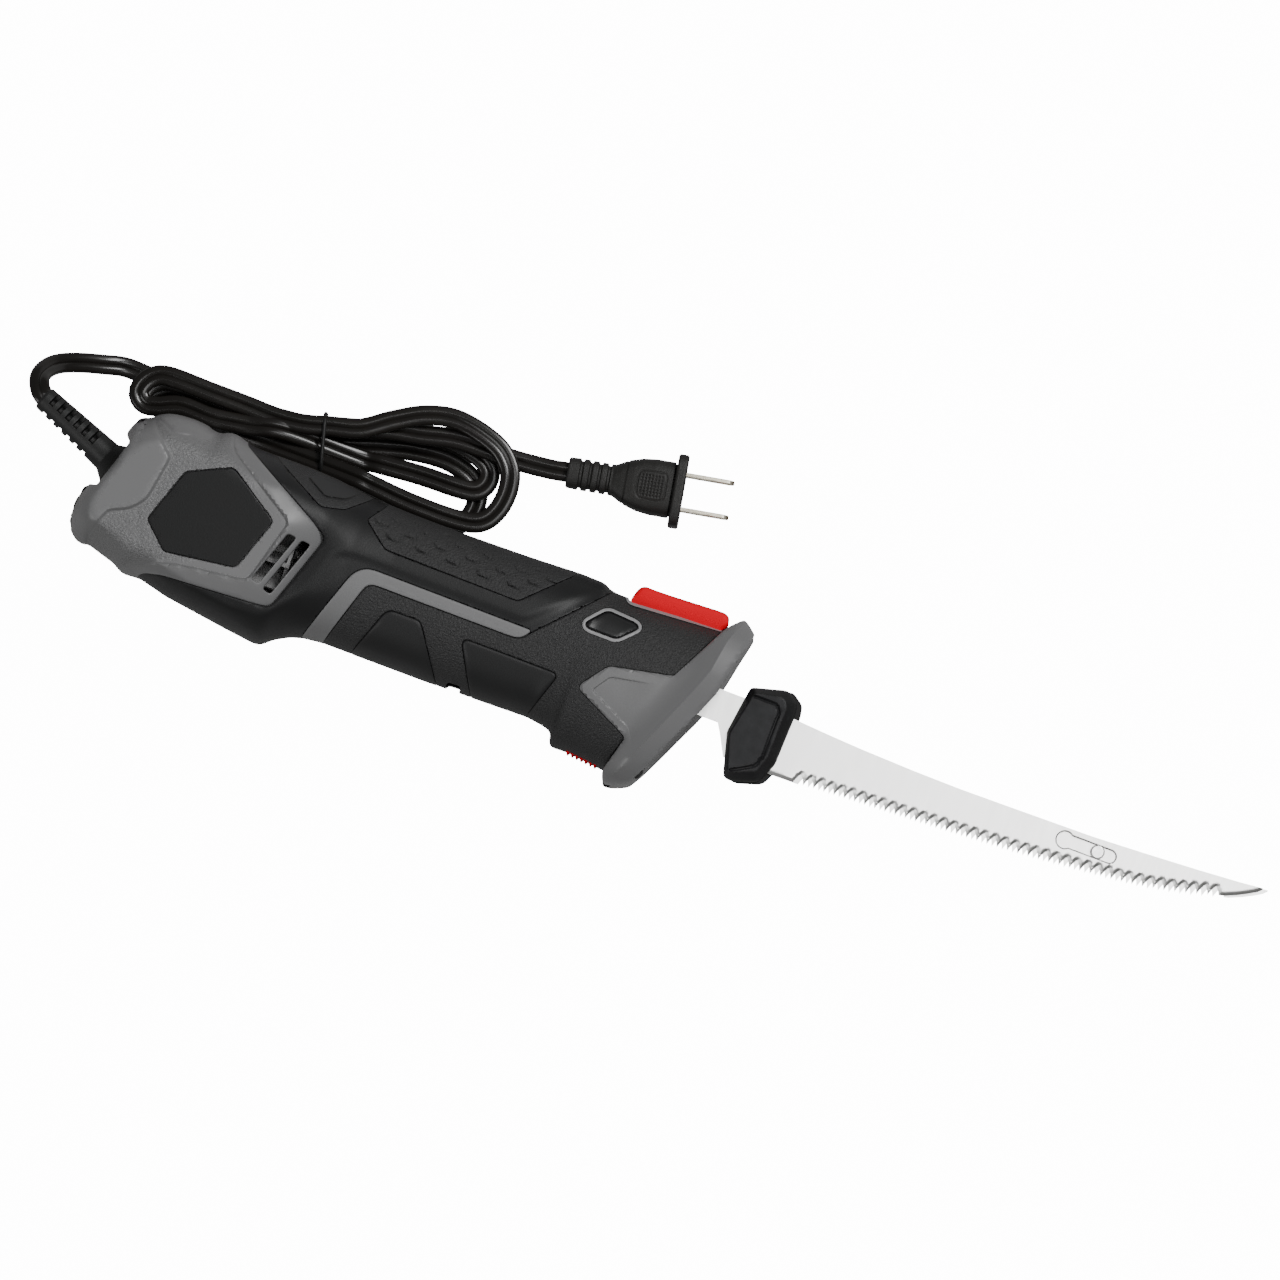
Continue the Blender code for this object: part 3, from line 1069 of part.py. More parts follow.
def upper_run(layer, slot, lobe, left):
    """Points of a run from the left end over the upper side of both lobes to the right end."""
    z = layer_height(layer)
    waist = TIE_Y + slot * STEP_ACROSS
    points = [] if left < -236.0 else [(left, 33.5), (left + 2.0, 38.6), (left + 8.0, LEFT_Y)]
    points += [(-210.0, LEFT_Y), (-196.0, 0.8 * LEFT_Y + 0.2 * waist), (-180.0, waist), (-156.0, waist)]
    if lobe:
        end, top, bottom = lobe
        middle, reach, tall = (top + bottom) / 2, end - LOBE_X, (top - bottom) / 2
        points += [(-146.0, waist + 0.34 * (top - waist)), (-135.0, waist + 0.76 * (top - waist)), (LOBE_X, top),
                   (LOBE_X + 0.6 * reach, middle + 0.8 * tall), (LOBE_X + 0.9 * reach, middle + 0.44 * tall)]
    else:
        points += [(-146.0, waist + 5.0), (-135.0, waist + 9.6), (-121.0, waist + 12.4), (-107.0, waist + 12.9)]
    return [(x, y, z) for x, y in points]


def lower_run(lobe, start_layer, end_layer, slot, climb, beside):
    """Points of the run back under the lobes; it changes layer along its straight part at the waist."""
    end, top, bottom = lobe
    middle, reach, tall = (top + bottom) / 2, end - LOBE_X, (top - bottom) / 2
    low, high = layer_height(start_layer), layer_height(end_layer)
    waist = TIE_Y + slot * STEP_ACROSS
    points = [(end, middle, low), (LOBE_X + 0.82 * reach, middle - 0.57 * tall, low),
              (LOBE_X + 0.4 * reach, middle - 0.92 * tall, low), (-128.0, bottom, low),
              (-141.0, 0.5 * (bottom + waist), low), (climb, waist, low), (-179.0, waist, high),
              (-193.0, 0.4 * waist + 0.6 * beside, high), (-206.0, beside, high), (-218.0, beside, high),
              (-226.0, 29.6, high), (-231.0, 29.0, high)]
    return points


def hank_points():
    """The whole hank as one open line of points."""
    points = [(-238.0, LEFT_Y, FIRST_LAYER), (-232.0, LEFT_Y, FIRST_LAYER)]
    for index, (layer, slot, lobe, left) in enumerate(LOOPS):
        points += upper_run(layer, slot, lobe, left)
        if lobe:
            points += lower_run(lobe, *LOWER_RUNS[index])
    return points + [(-101.0, TIE_Y + STEP_ACROSS + 12.9, layer_height(TAIL_LAYER))]


def smooth_line(points, spacing):
    """Reads evenly spaced points from a smooth curve through the given ones."""
    knots = np.array([points[0], *points, points[-1]], float)
    knots[0] = 2 * knots[1] - knots[2]
    knots[-1] = 2 * knots[-2] - knots[-3]
    line = [knots[1]]
    for a, b, c, d in zip(knots, knots[1:], knots[2:], knots[3:]):
        for share in np.linspace(0.05, 1.0, 20):
            line.append(0.5 * (2 * b + (c - a) * share + (2 * a - 5 * b + 4 * c - d) * share ** 2
                               + (3 * b - 3 * c + d - a) * share ** 3))
    line = np.array(line)
    run = np.concatenate([[0.0], np.cumsum(np.linalg.norm(np.diff(line, axis=0), axis=1))])
    count = max(2, round(run[-1] / spacing) + 1)
    marks = np.linspace(0.0, run[-1], count)
    return [tuple(float(np.interp(mark, run, line[:, k])) for k in range(3)) for mark in marks]


def ribbon_mesh(name, points):
    """The flat cord along a line of points, its width level and its ends square."""
    half, thick = CORD_WIDTH / 2, CORD_THICK / 2
    section = [(half, 0.0), (0.6 * half, thick), (-0.6 * half, thick), (-half, 0.0), (-0.6 * half, -thick),
               (0.6 * half, -thick)]
    line = [Vector(p) for p in points]
    work = bmesh.new()
    rings = []
    for k, place in enumerate(line):
        ahead = (line[min(k + 1, len(line) - 1)] - place).normalized()
        behind = (place - line[max(k - 1, 0)]).normalized()
        along = (ahead + behind).normalized()
        across = Vector((0.0, 0.0, 1.0)).cross(along).normalized()
        up = along.cross(across)
        rings.append([work.verts.new(place + across * s + up * t) for s, t in section])
    for one, two in zip(rings, rings[1:]):
        for step in range(6):
            following = (step + 1) % 6
            work.faces.new((one[step], one[following], two[following], two[step]))
    work.faces.new(rings[0])
    work.faces.new(rings[-1])
    return mesh_from(name, work, flat=True)


def least_gap(points):
    """Least clearance between parts of the line that aren't neighbours along it."""
    line = np.array(points, float)
    fine = np.vstack([np.linspace(a, b, 12, endpoint=False) for a, b in zip(line, line[1:])] + [line[-1:]])
    run = np.concatenate([[0.0], np.cumsum(np.linalg.norm(np.diff(fine, axis=0), axis=1))])
    least = 1000.0
    for k in range(len(fine)):
        other = fine[run > run[k] + 4 * CORD_WIDTH]
        if len(other):
            flat = np.hypot(other[:, 0] - fine[k, 0], other[:, 1] - fine[k, 1]) - CORD_WIDTH
            tall = abs(other[:, 2] - fine[k, 2]) - CORD_THICK
            least = min(least, float(np.maximum(flat, tall).min()))
    return least


def section_loft(name, sections, sides=12, power=3.0):
    """A loft of rounded sections (place along, half width, half height) along the plug's line."""
    work = bmesh.new()
    rings = []
    for along, wide, tall in sections:
        ring = []
        for step in range(sides):
            angle = 2 * math.pi * (step + 0.5) / sides
            c, s = math.cos(angle), math.sin(angle)
            ring.append(work.verts.new((along, wide * math.copysign(abs(c) ** (2 / power), c),
                                        tall * math.copysign(abs(s) ** (2 / power), s))))
        rings.append(ring)
    for one, two in zip(rings, rings[1:]):
        for step in range(sides):
            following = (step + 1) % sides
            work.faces.new((one[step], one[following], two[following], two[step]))
    work.faces.new(rings[0])
    work.faces.new(rings[-1])
    return at_plug(mesh_from(name, work, flat=True))


def at_plug(mesh):
    """Moves a mesh from the plug's own line to its place on the table."""
    turn = Matrix.Rotation(math.radians(PLUG_LEAN), 4, "Z")
    mesh.transform(Matrix.Translation((*PLUG_START, layer_height(TAIL_LAYER))) @ turn)
    return mesh


def build_cord():
    """Lead, hank, tie and tail, and the plug with its prongs."""
    hank = hank_points()
    print("least gap of the hank to itself in mm:", round(least_gap(hank), 3))
    start = Vector((*RELIEF_BASE, 0.0))
    place_object("cord_hank", ribbon_mesh("cord_hank", hank), "cord_black")
    place_object("cord_lead", ribbon_mesh("cord_lead", smooth_line(LEAD_ROUTE, 6.0)), "cord_black")
    out = Vector((math.cos(math.radians(PLUG_LEAN)), math.sin(math.radians(PLUG_LEAN)), 0.0))
    foot = Vector((*PLUG_START, layer_height(TAIL_LAYER))) - out * GAP
    tail = [(-101.0 + GAP, *hank[-1][1:]), (-95.0, *hank[-1][1:]),
            tuple(foot - out * 7.0), tuple(foot)]
    place_object("cord_tail", ribbon_mesh("cord_tail", smooth_line(tail, 5.0)), "cord_black")

    inner = [STEP_ACROSS + CORD_WIDTH / 2 + GAP, FIRST_LAYER - CORD_THICK / 2 - GAP,
             layer_height(TOP_LAYER) + CORD_THICK / 2 + GAP]
    outer = [inner[0] + TIE_THICK, inner[1] - TIE_THICK, inner[2] + TIE_THICK]
    tie = box_mesh("cord_tie", (-TIE_WIDTH / 2, -outer[0], outer[1]), (TIE_WIDTH / 2, outer[0], outer[2]))
    room = box_mesh("tie_room", (-5.0, -inner[0], inner[1]), (5.0, inner[0], inner[2]))
    for mesh in (tie, room):
        mesh.transform(Matrix.Translation((TIE_X, TIE_Y, 0.0)))
    tie = place_object("cord_tie", tie, "label_black")
    boolean(tie, place_object("tie_room", room))

    sections = [(0.0, 5.0, 4.6)]
    pitch = PLUG_RELIEF / 5
    for rib in range(5):
        at = 0.4 + rib * pitch
        sections += [(at, 5.8, 5.0), (at + 0.55 * pitch, 5.8, 5.0), (at + 0.7 * pitch, 4.4, 4.0)]
    sections += [(PLUG_RELIEF + 0.8, 5.9, 5.4), (PLUG_RELIEF + 7.0, 7.4, 6.2), (PLUG_BODY - 5.0, 10.2, 7.2),
                 (PLUG_BODY, 10.5, 7.4), (PLUG_BODY + 0.2, 13.3, 9.2), (PLUG_FACE, 13.3, 9.2)]
    plug = place_object("plug_body", section_loft("plug_body", sections), "cord_black")
    for side, word in ((1, "upper"), (-1, "lower")):
        low = (PLUG_FACE - PRONG_SUNK, side * PRONG_SPACING / 2 - PRONG_THICK / 2, -PRONG_WIDTH / 2)
        high = (PLUG_FACE + PRONG_LENGTH, side * PRONG_SPACING / 2 + PRONG_THICK / 2, PRONG_WIDTH / 2)
        name = "plug_prong_" + word
        prong = place_object(name, at_plug(box_mesh(name, low, high)), "brass")
        hole = turned_mesh("prong_hole", "Y", (high[0] - 3.0, side * PRONG_SPACING / 2, 0.0), [(-5.0, 1.5), (5.0, 1.5)], 10)
        boolean(prong, place_object(name + "_hole", at_plug(hole)))
        rounded(prong, 0.4, 1, 60.0)
        grown_low = tuple(value - 0.2 for value in low)
        grown_high = (high[0], high[1] + 0.2, high[2] + 0.2)
        boolean(plug, place_object(name + "_socket", at_plug(box_mesh("socket", grown_low, grown_high))))


build_cord()
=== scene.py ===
"""Looks of an electric fillet knife that lies on its side beside its bundled cord."""
import json
import math

import bpy
import numpy as np
from mathutils import Matrix, Vector
from mathutils.geometry import delaunay_2d_cdt

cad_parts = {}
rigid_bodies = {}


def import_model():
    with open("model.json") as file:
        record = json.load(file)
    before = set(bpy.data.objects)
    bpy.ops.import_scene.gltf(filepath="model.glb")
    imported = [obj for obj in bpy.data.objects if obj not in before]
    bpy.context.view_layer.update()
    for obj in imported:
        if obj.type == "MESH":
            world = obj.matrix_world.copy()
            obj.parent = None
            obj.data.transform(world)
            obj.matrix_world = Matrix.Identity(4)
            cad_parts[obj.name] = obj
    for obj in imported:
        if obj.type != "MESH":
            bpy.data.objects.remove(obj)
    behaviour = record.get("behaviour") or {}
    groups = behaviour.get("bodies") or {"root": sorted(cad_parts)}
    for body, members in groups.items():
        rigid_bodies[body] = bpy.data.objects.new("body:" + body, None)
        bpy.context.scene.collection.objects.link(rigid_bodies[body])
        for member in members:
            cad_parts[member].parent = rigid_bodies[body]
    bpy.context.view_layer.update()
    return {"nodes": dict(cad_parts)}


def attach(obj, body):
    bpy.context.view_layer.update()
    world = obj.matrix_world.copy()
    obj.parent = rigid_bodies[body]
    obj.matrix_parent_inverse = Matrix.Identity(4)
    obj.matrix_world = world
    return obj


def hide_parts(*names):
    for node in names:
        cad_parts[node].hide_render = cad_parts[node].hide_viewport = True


for leftover in list(bpy.data.objects):
    bpy.data.objects.remove(leftover)
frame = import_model()

# Table and studio.
# A plain white table under broad soft lamps, placed in metres. The pieces after
# them are drawn in millimetres along the knife: x to the tip, y to the thumb
# switch, z up from the parting plane. ORIGIN moves them to the world.
ORIGIN = np.array((0.0144, 0.00465, 0.030))


def world(points):
    """Places along the knife in millimetres, as world places in metres."""
    return np.asarray(points, float) * 0.001 + ORIGIN


def node_material(name):
    """An empty node material: returns it with its tree and its surface shader."""
    material = bpy.data.materials.new(name)
    material.use_nodes = True
    tree = material.node_tree
    return material, tree, tree.nodes["Principled BSDF"]


def feed(node, links):
    """Links the named inputs of a node to sockets, or fills them in with plain values."""
    for socket, value in links.items():
        if isinstance(value, bpy.types.NodeSocket):
            node.id_data.links.new(value, node.inputs[socket])
        else:
            node.inputs[socket].default_value = value


def chain(tree, kind, links, **settings):
    """Adds a node, sets its plain properties and feeds its inputs."""
    node = tree.nodes.new(kind)
    for word, value in settings.items():
        setattr(node, word, value)
    feed(node, links)
    return node


def maths(tree, operation, *values):
    """The result of one maths node."""
    return chain(tree, "ShaderNodeMath", dict(enumerate(values)), operation=operation).outputs[0]


def speckle(tree, rate, detail=2.0):
    """The value of a noise in the object's own space, at a rate for each metre."""
    where = tree.nodes.new("ShaderNodeTexCoord").outputs["Object"]
    return chain(tree, "ShaderNodeTexNoise", {"Vector": where, "Scale": rate, "Detail": detail}).outputs["Fac"]


def two_tones(tree, share, low, high):
    """A colour ramp from a low tone to a high one."""
    ramp = chain(tree, "ShaderNodeValToRGB", {"Fac": share})
    for element, colour in zip(ramp.color_ramp.elements, (low, high)):
        element.color = (*colour, 1)
    return ramp.outputs["Color"]


def add_mesh(name, verts, faces, material, smooth=35.0):
    """A new object from lists of places (in metres) and faces; creases past an angle stay sharp."""
    mesh = bpy.data.meshes.new(name)
    mesh.from_pydata(np.asarray(verts, float).tolist(), [], faces)
    mesh.validate()
    mesh.shade_smooth()
    if smooth < 180.0:
        mesh.set_sharp_from_angle(angle=math.radians(smooth))
    piece = bpy.data.objects.new(name, mesh)
    bpy.context.scene.collection.objects.link(piece)
    mesh.materials.append(material)
    return piece


TABLE_SIZE = 6.0
TABLE_LEVEL = -0.0002
GLOW_SEEN = 15.0
GLOW_CAST = 0.12
table_look, tree, shader = node_material("table_white")
path = chain(tree, "ShaderNodeLightPath", {})
feed(shader, {"Base Color": (0.3, 0.3, 0.3, 1.0), "Roughness": 0.9, "Specular IOR Level": 0.0,
              "Emission Color": two_tones(tree, speckle(tree, 3.0), (0.93, 0.93, 0.93), (0.95, 0.95, 0.95)),
              "Emission Strength": maths(tree, "MULTIPLY_ADD", path.outputs["Is Camera Ray"], GLOW_SEEN, GLOW_CAST)})
corner = TABLE_SIZE / 2
table = add_mesh("table", [(x * corner, y * corner, TABLE_LEVEL) for x, y in ((-1, -1), (1, -1), (1, 1), (-1, 1))],
                 [(0, 1, 2, 3)], table_look)


def soft_lamp(name, place, aim, size, watts):
    """A square area lamp at a place, turned to a point."""
    lamp = bpy.data.lights.new(name, "AREA")
    lamp.shape = "RECTANGLE"
    lamp.size, lamp.size_y = size
    lamp.energy = watts
    holder = bpy.data.objects.new(name, lamp)
    holder.location = place
    holder.rotation_euler = (Vector(aim) - Vector(place)).to_track_quat("-Z", "Y").to_euler()
    bpy.context.scene.collection.objects.link(holder)
    return holder


soft_lamp("lamp_key", (0.76, 1.27, 1.89), (-0.06, 0.0, 0.03), (0.9, 0.7), 48.0)
soft_lamp("lamp_front", (0.31, 0.15, 2.2), (0.12, 0.0, 0.03), (0.8, 0.7), 11.0)
soft_lamp("lamp_fill", (-1.3, -1.5, 1.7), (-0.06, 0.0, 0.03), (1.4, 1.0), 23.0)
sky = bpy.data.worlds.new("studio_air")
sky.use_nodes = True
feed(sky.node_tree.nodes["Background"], {"Color": (1.0, 1.0, 1.0, 1.0), "Strength": 0.15})
bpy.context.scene.world = sky

# Camera.
# It looks almost straight down, turned in plan so that the blade points down to
# the right, and leans a little from the tip and from the belly side.
VIEW_TURN = 20.7
VIEW_AIM = (-0.0176, 0.01675, 0.030)
VIEW_LEAN = (0.0262, -0.0655)
VIEW_AWAY = 3.2
VIEW_WIDE = 0.4608
VIEW_SENSOR = 36.0
back = Vector((VIEW_LEAN[0], VIEW_LEAN[1], 1.0)).normalized()
turn = math.radians(VIEW_TURN)
right = Vector((math.cos(turn), math.sin(turn), 0.0))
right = (right - back * right.dot(back)).normalized()
above = back.cross(right)
view = bpy.data.cameras.new("photo_view")
view.sensor_width = VIEW_SENSOR
view.lens = VIEW_SENSOR * VIEW_AWAY / VIEW_WIDE
view.clip_end = 20.0
eye = bpy.data.objects.new("photo_view", view)
eye.matrix_world = Matrix((
    (right.x, above.x, back.x, VIEW_AIM[0] + VIEW_AWAY * back.x),
    (right.y, above.y, back.y, VIEW_AIM[1] + VIEW_AWAY * back.y),
    (right.z, above.z, back.z, VIEW_AIM[2] + VIEW_AWAY * back.z),
    (0.0, 0.0, 0.0, 1.0)))
bpy.context.scene.collection.objects.link(eye)
bpy.context.scene.camera = eye

# Cord.
# A flat twin lead in black vinyl leaves the strain relief, turns back and is
# folded into a hank of loops that cross at the tie; its tail runs to the plug.
# Two round cores side by side leave a groove down its middle.
CORD_WIDTH = 7.4
CORD_THICK = 3.3
CORD_LAYERS = [-27.33 + 3.35 * layer for layer in range(4)]
CORD_WAIST = 37.9
CORD_STEP = 6.9
CORD_LOBE = -121.0
CORD_JOINED = -236.0
CORD_LEAD = [(-262, 17.4, 0), (-266, 19.9, -0.3), (-268.5, 24.6, -4), (-267.3, 28.8, -9.5), (-263.8, 32, -15),
    (-257.4, 34.8, -20), (-249.5, 37.2, -24.6), (-242.4, 39, -27)]
CORD_LOOPS = [(0, 0, (-105.2, 48.5, 26.5), -238.0), (1, 1, (-104.0, 55.5, 40.3), -231.2),
              (3, 1, (-96.0, 63.6, 29.0), -234.1), (2, 1, None, -232.6)]
CORD_RETURNS = [(0, 1, -1, -158.0, 29.8), (1, 3, 0, -151.0, 32.8), (3, 2, -1, -151.0, 31.5)]
CORD_EDGE = (38.0, 38.6, 40.0, 41.4)
PLUG_LEAN = math.radians(10.7)
PLUG_START = (-78.2, 59.9)


def cord_over(layer, slot, lobe, left):
    """Points of a run over the upper side of the hank, from its left end to the lobe at its right. A run that
    starts left of CORD_JOINED goes on from the one before it, with no bend of its own there."""
    z = CORD_LAYERS[layer]
    edge = CORD_EDGE[layer]
    drop = (1 - slot) * CORD_STEP
    points = [] if left < CORD_JOINED else [(left, 32.6), (left + 2.0, edge - 3.2), (left + 8.0, edge)]
    points += [(-210.0, edge), (-196.0, edge - 0.3 * drop), (-184.0, 41.2 - 0.6 * drop), (-174.0, 42.4 - 0.9 * drop),
               (-165.0, 45.0 - drop), (-154.0, 48.2 - drop)]
    start = 48.2 - drop
    if lobe:
        end, top, bottom = lobe
        middle, reach, tall = (top + bottom) / 2, end - CORD_LOBE, (top - bottom) / 2
        points += [(-144.0, start + 0.45 * (top - start)), (-133.0, start + 0.85 * (top - start)),
                   (CORD_LOBE, top), (CORD_LOBE + 0.6 * reach, middle + 0.8 * tall),
                   (CORD_LOBE + 0.9 * reach, middle + 0.44 * tall)]
    else:
        points += [(-144.0, start + 3.4), (-133.0, start + 5.6), (-121.0, start + 8.6), (-109.0, start + 9.2)]
    return [(x, y, z) for x, y in points]


def cord_under(lobe, start_layer, end_layer, slot, climb, beside):
    """Points of the run back under the lobes, which changes layer in the straight part at the waist."""
    end, top, bottom = lobe
    middle, reach, tall = (top + bottom) / 2, end - CORD_LOBE, (top - bottom) / 2
    low, high = CORD_LAYERS[start_layer], CORD_LAYERS[end_layer]
    waist = CORD_WAIST + slot * CORD_STEP
    return [(end, middle, low), (CORD_LOBE + 0.96 * reach, middle - 0.5 * tall, low),
            (CORD_LOBE + 0.78 * reach, middle - 0.86 * tall, low),
            (CORD_LOBE + 0.4 * reach, bottom + 0.02 * tall, low), (-128.0, bottom + 0.12 * (waist - bottom), low),
            (-143.0, bottom + 0.7 * (waist - bottom), low), (climb, waist, low), (-179.0, waist, high),
            (-193.0, 0.4 * waist + 0.6 * beside, high), (-206.0, beside, high), (-218.0, beside, high),
            (-226.0, 29.6, high), (-231.0, 29.0, high)]


def smooth_line(points, spacing):
    """Evenly spaced points of a smooth cubic curve through the given ones."""
    knots = np.array([points[0], *points, points[-1]], float)
    knots[0] = 2 * knots[1] - knots[2]
    knots[-1] = 2 * knots[-2] - knots[-3]
    share = np.linspace(0.0, 1.0, 24, endpoint=False)[None, :, None]
    a, b, c, d = (knots[k:len(knots) - 3 + k, None, :] for k in range(4))
    fine = 0.5 * (2 * b + (c - a) * share + (2 * a - 5 * b + 4 * c - d) * share ** 2
                  + (3 * b - 3 * c + d - a) * share ** 3)
    fine = np.vstack([fine.reshape(-1, 3), knots[-2]])
    run = np.concatenate([[0.0], np.cumsum(np.linalg.norm(np.diff(fine, axis=0), axis=1))])
    marks = np.linspace(0.0, run[-1], max(2, round(run[-1] / spacing) + 1))
    return np.stack([np.interp(marks, run, fine[:, k]) for k in range(3)], 1)


UP = np.array((0.0, 0.0, 1.0))


def ring_faces(rows, sides, looped=False):
    """Quads between neighbouring rings of a stack. In a looped stack the last ring also joins the first, and its
    rings run the other way round."""
    here = np.arange(rows if looped else rows - 1)[:, None] * sides
    ahead = (here + sides) % (rows * sides)
    side = np.arange(sides)[None]
    after = (side + 1) % sides
    corners = [here + side, here + after, ahead + after, ahead + side]
    if looped:
        corners = [corners[0], corners[3], corners[2], corners[1]]
    return np.stack(corners, -1).reshape(-1, 4).tolist()


def closed_surface(rings, ends=None):
    """Places and faces of a stack of equal rings, closed by fans round two given points or round the middles of
    its first and last ring."""
    rows, sides = rings.shape[:2]
    ring = np.arange(sides)
    turned = (ring + 1) % sides
    last = (rows - 1) * sides
    faces = ring_faces(rows, sides)
    faces += np.stack([turned, ring, np.full(sides, rows * sides)], 1).tolist()
    faces += np.stack([last + ring, last + turned, np.full(sides, rows * sides + 1)], 1).tolist()
    return np.vstack([rings.reshape(-1, 3), ends or (rings[0].mean(0), rings[-1].mean(0))]), faces


def sweep(line, section):
    """A tube along a line, with one ring of section (across, up) for each point, its width kept level.

    place = point + across * s + up * t, where across is level and square to the line."""
    along = np.gradient(line, axis=0)
    along /= np.linalg.norm(along, axis=1, keepdims=True)
    across = np.cross(UP, along)
    across /= np.linalg.norm(across, axis=1, keepdims=True)
    up = np.cross(along, across)
    return closed_surface(line[:, None] + across[:, None] * section[:, :1] + up[:, None] * section[:, 1:],
                          (line[0], line[-1]))


def squared(wave, power):
    """A wave with its size raised to a power below 1, which makes a round section squarer."""
    return np.sign(wave) * np.abs(wave) ** power


def twin_section(width, thick, groove, sides=28):
    """Section of two joined cores: a rounded form, squarer at its top than at its sides, pinched at the middle."""
    turn = np.linspace(0.0, 2 * math.pi, sides, endpoint=False)
    across = width / 2 * squared(np.cos(turn), 0.9)
    up = thick / 2 * squared(np.sin(turn), 0.55) * (1.0 - groove * np.exp(-(across / 0.55) ** 2))
    return np.stack([across, up], 1)


def span(tree, value, low, high, start=0.0, end=1.0):
    """A value carried over from start..end to low..high."""
    return chain(tree, "ShaderNodeMapRange", {"Value": value, "From Min": start, "From Max": end, "To Min": low,
                                              "To Max": high}).outputs["Result"]


def mixed(tree, share, first, second):
    """A share of the way from the first colour to the second."""
    return chain(tree, "ShaderNodeMix", {0: share, 6: first, 7: second}, data_type="RGBA").outputs[2]


points = CORD_LEAD + [(-234.0, 38.9, CORD_LAYERS[0]), (-224.0, 38.3, CORD_LAYERS[0])]
for index, (layer, slot, lobe, left) in enumerate(CORD_LOOPS):
    points += cord_over(layer, slot, lobe, left)
    if lobe:
        points += cord_under(lobe, *CORD_RETURNS[index])
heading = np.array((math.cos(PLUG_LEAN), math.sin(PLUG_LEAN), 0.0))
plug_foot = np.array((*PLUG_START, CORD_LAYERS[2]))
points += [(-99.0, 57.2, CORD_LAYERS[2]), tuple(plug_foot - 7.0 * heading),
           tuple(plug_foot + 0.5 * heading)]
cord_line = smooth_line(points, 1.6)
cord_line = cord_line + cord_line[:, 2:] * np.array([[*VIEW_LEAN, 0.0]])

vinyl, tree, shader = node_material("cord_vinyl")
smear = speckle(tree, 45.0, 3.0)
feed(shader, {"Base Color": mixed(tree, smear, (0.0065, 0.0058, 0.0052, 1), (0.012, 0.0104, 0.009, 1)),
              "Roughness": span(tree, smear, 0.19, 0.31, 0.3, 0.7), "Specular IOR Level": 0.4})
verts, faces = sweep(cord_line, twin_section(CORD_WIDTH, CORD_THICK, 0.42))
cord = add_mesh("twin_lead", world(verts), faces, vinyl, 60.0)
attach(cord, "handle")
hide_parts("cord_lead", "cord_hank", "cord_tail")

# Handle form.
# The moulded handle is one rounded skin split into near and far halves at the
# parting plane. Its pieces are height sheets over their side outlines: the
# height is half the handle's thickness there, and every rim is rounded over.
PARTING = 0.12


def value_group(name, inputs, outputs):
    """A shared node group with named inputs (name, kind, start value) and outputs (name, kind)."""
    group = bpy.data.node_groups.new(name, "ShaderNodeTree")
    for word, kind, start in inputs:
        socket = group.interface.new_socket(name=word, in_out="INPUT", socket_type=kind)
        socket.default_value = start
    for word, kind in outputs:
        group.interface.new_socket(name=word, in_out="OUTPUT", socket_type=kind)
    return group, group.nodes.new("NodeGroupInput"), group.nodes.new("NodeGroupOutput")


# Moulded grain: rounded pebbles of a size in metres, with finer ones between them, as a bumped normal.
grain_group, given, result = value_group(
    "moulded_grain", [("Size", "NodeSocketFloat", 0.0008), ("Depth", "NodeSocketFloat", 0.5),
                      ("Mask", "NodeSocketFloat", 1.0)], [("Normal", "NodeSocketVector")])
where = grain_group.nodes.new("ShaderNodeTexCoord").outputs["Object"]
rate = maths(grain_group, "DIVIDE", 1.0, given.outputs["Size"])
pebble = chain(grain_group, "ShaderNodeTexVoronoi", {"Vector": where, "Scale": rate}, feature="SMOOTH_F1")
fine = speckle(grain_group, maths(grain_group, "MULTIPLY", rate, 1.7))
both = maths(grain_group, "SUBTRACT", pebble.outputs["Distance"], fine)
held = maths(grain_group, "MULTIPLY", both, given.outputs["Mask"])
bump = chain(grain_group, "ShaderNodeBump", {"Strength": given.outputs["Depth"], "Distance": 0.0002,
                                             "Height": held}, invert=True)
feed(result, {"Normal": bump.outputs["Normal"]})

# Tone with painted rim light: the colour drifts a little over the piece, and painted highlights lighten it (below
# zero: painted shade darkens it) by its lift where the rim mark says.
tone_group, given, result = value_group(
    "tone_with_painted_rim_light", [("Color", "NodeSocketColor", (0.5, 0.5, 0.5, 1.0)), ("Painted_Light_Mask", "NodeSocketFloat", 0.0),
                     ("Lift", "NodeSocketFloat", 0.35), ("Drift", "NodeSocketFloat", 0.12)],
    [("Color", "NodeSocketColor")])
centred = maths(tone_group, "SUBTRACT", speckle(tone_group, 38.0, 3.0), 0.5)
drift = maths(tone_group, "MULTIPLY", centred, given.outputs["Drift"])
painted_rim_light = maths(tone_group, "MULTIPLY", given.outputs["Painted_Light_Mask"], speckle(tone_group, 260.0))
lift = maths(tone_group, "MULTIPLY", painted_rim_light, given.outputs["Lift"])
gain = maths(tone_group, "ADD", maths(tone_group, "ADD", drift, lift), 1.0)
shade = chain(tone_group, "ShaderNodeVectorMath", {0: given.outputs["Color"], "Scale": gain}, operation="SCALE")
feed(result, {"Color": shade.outputs["Vector"]})


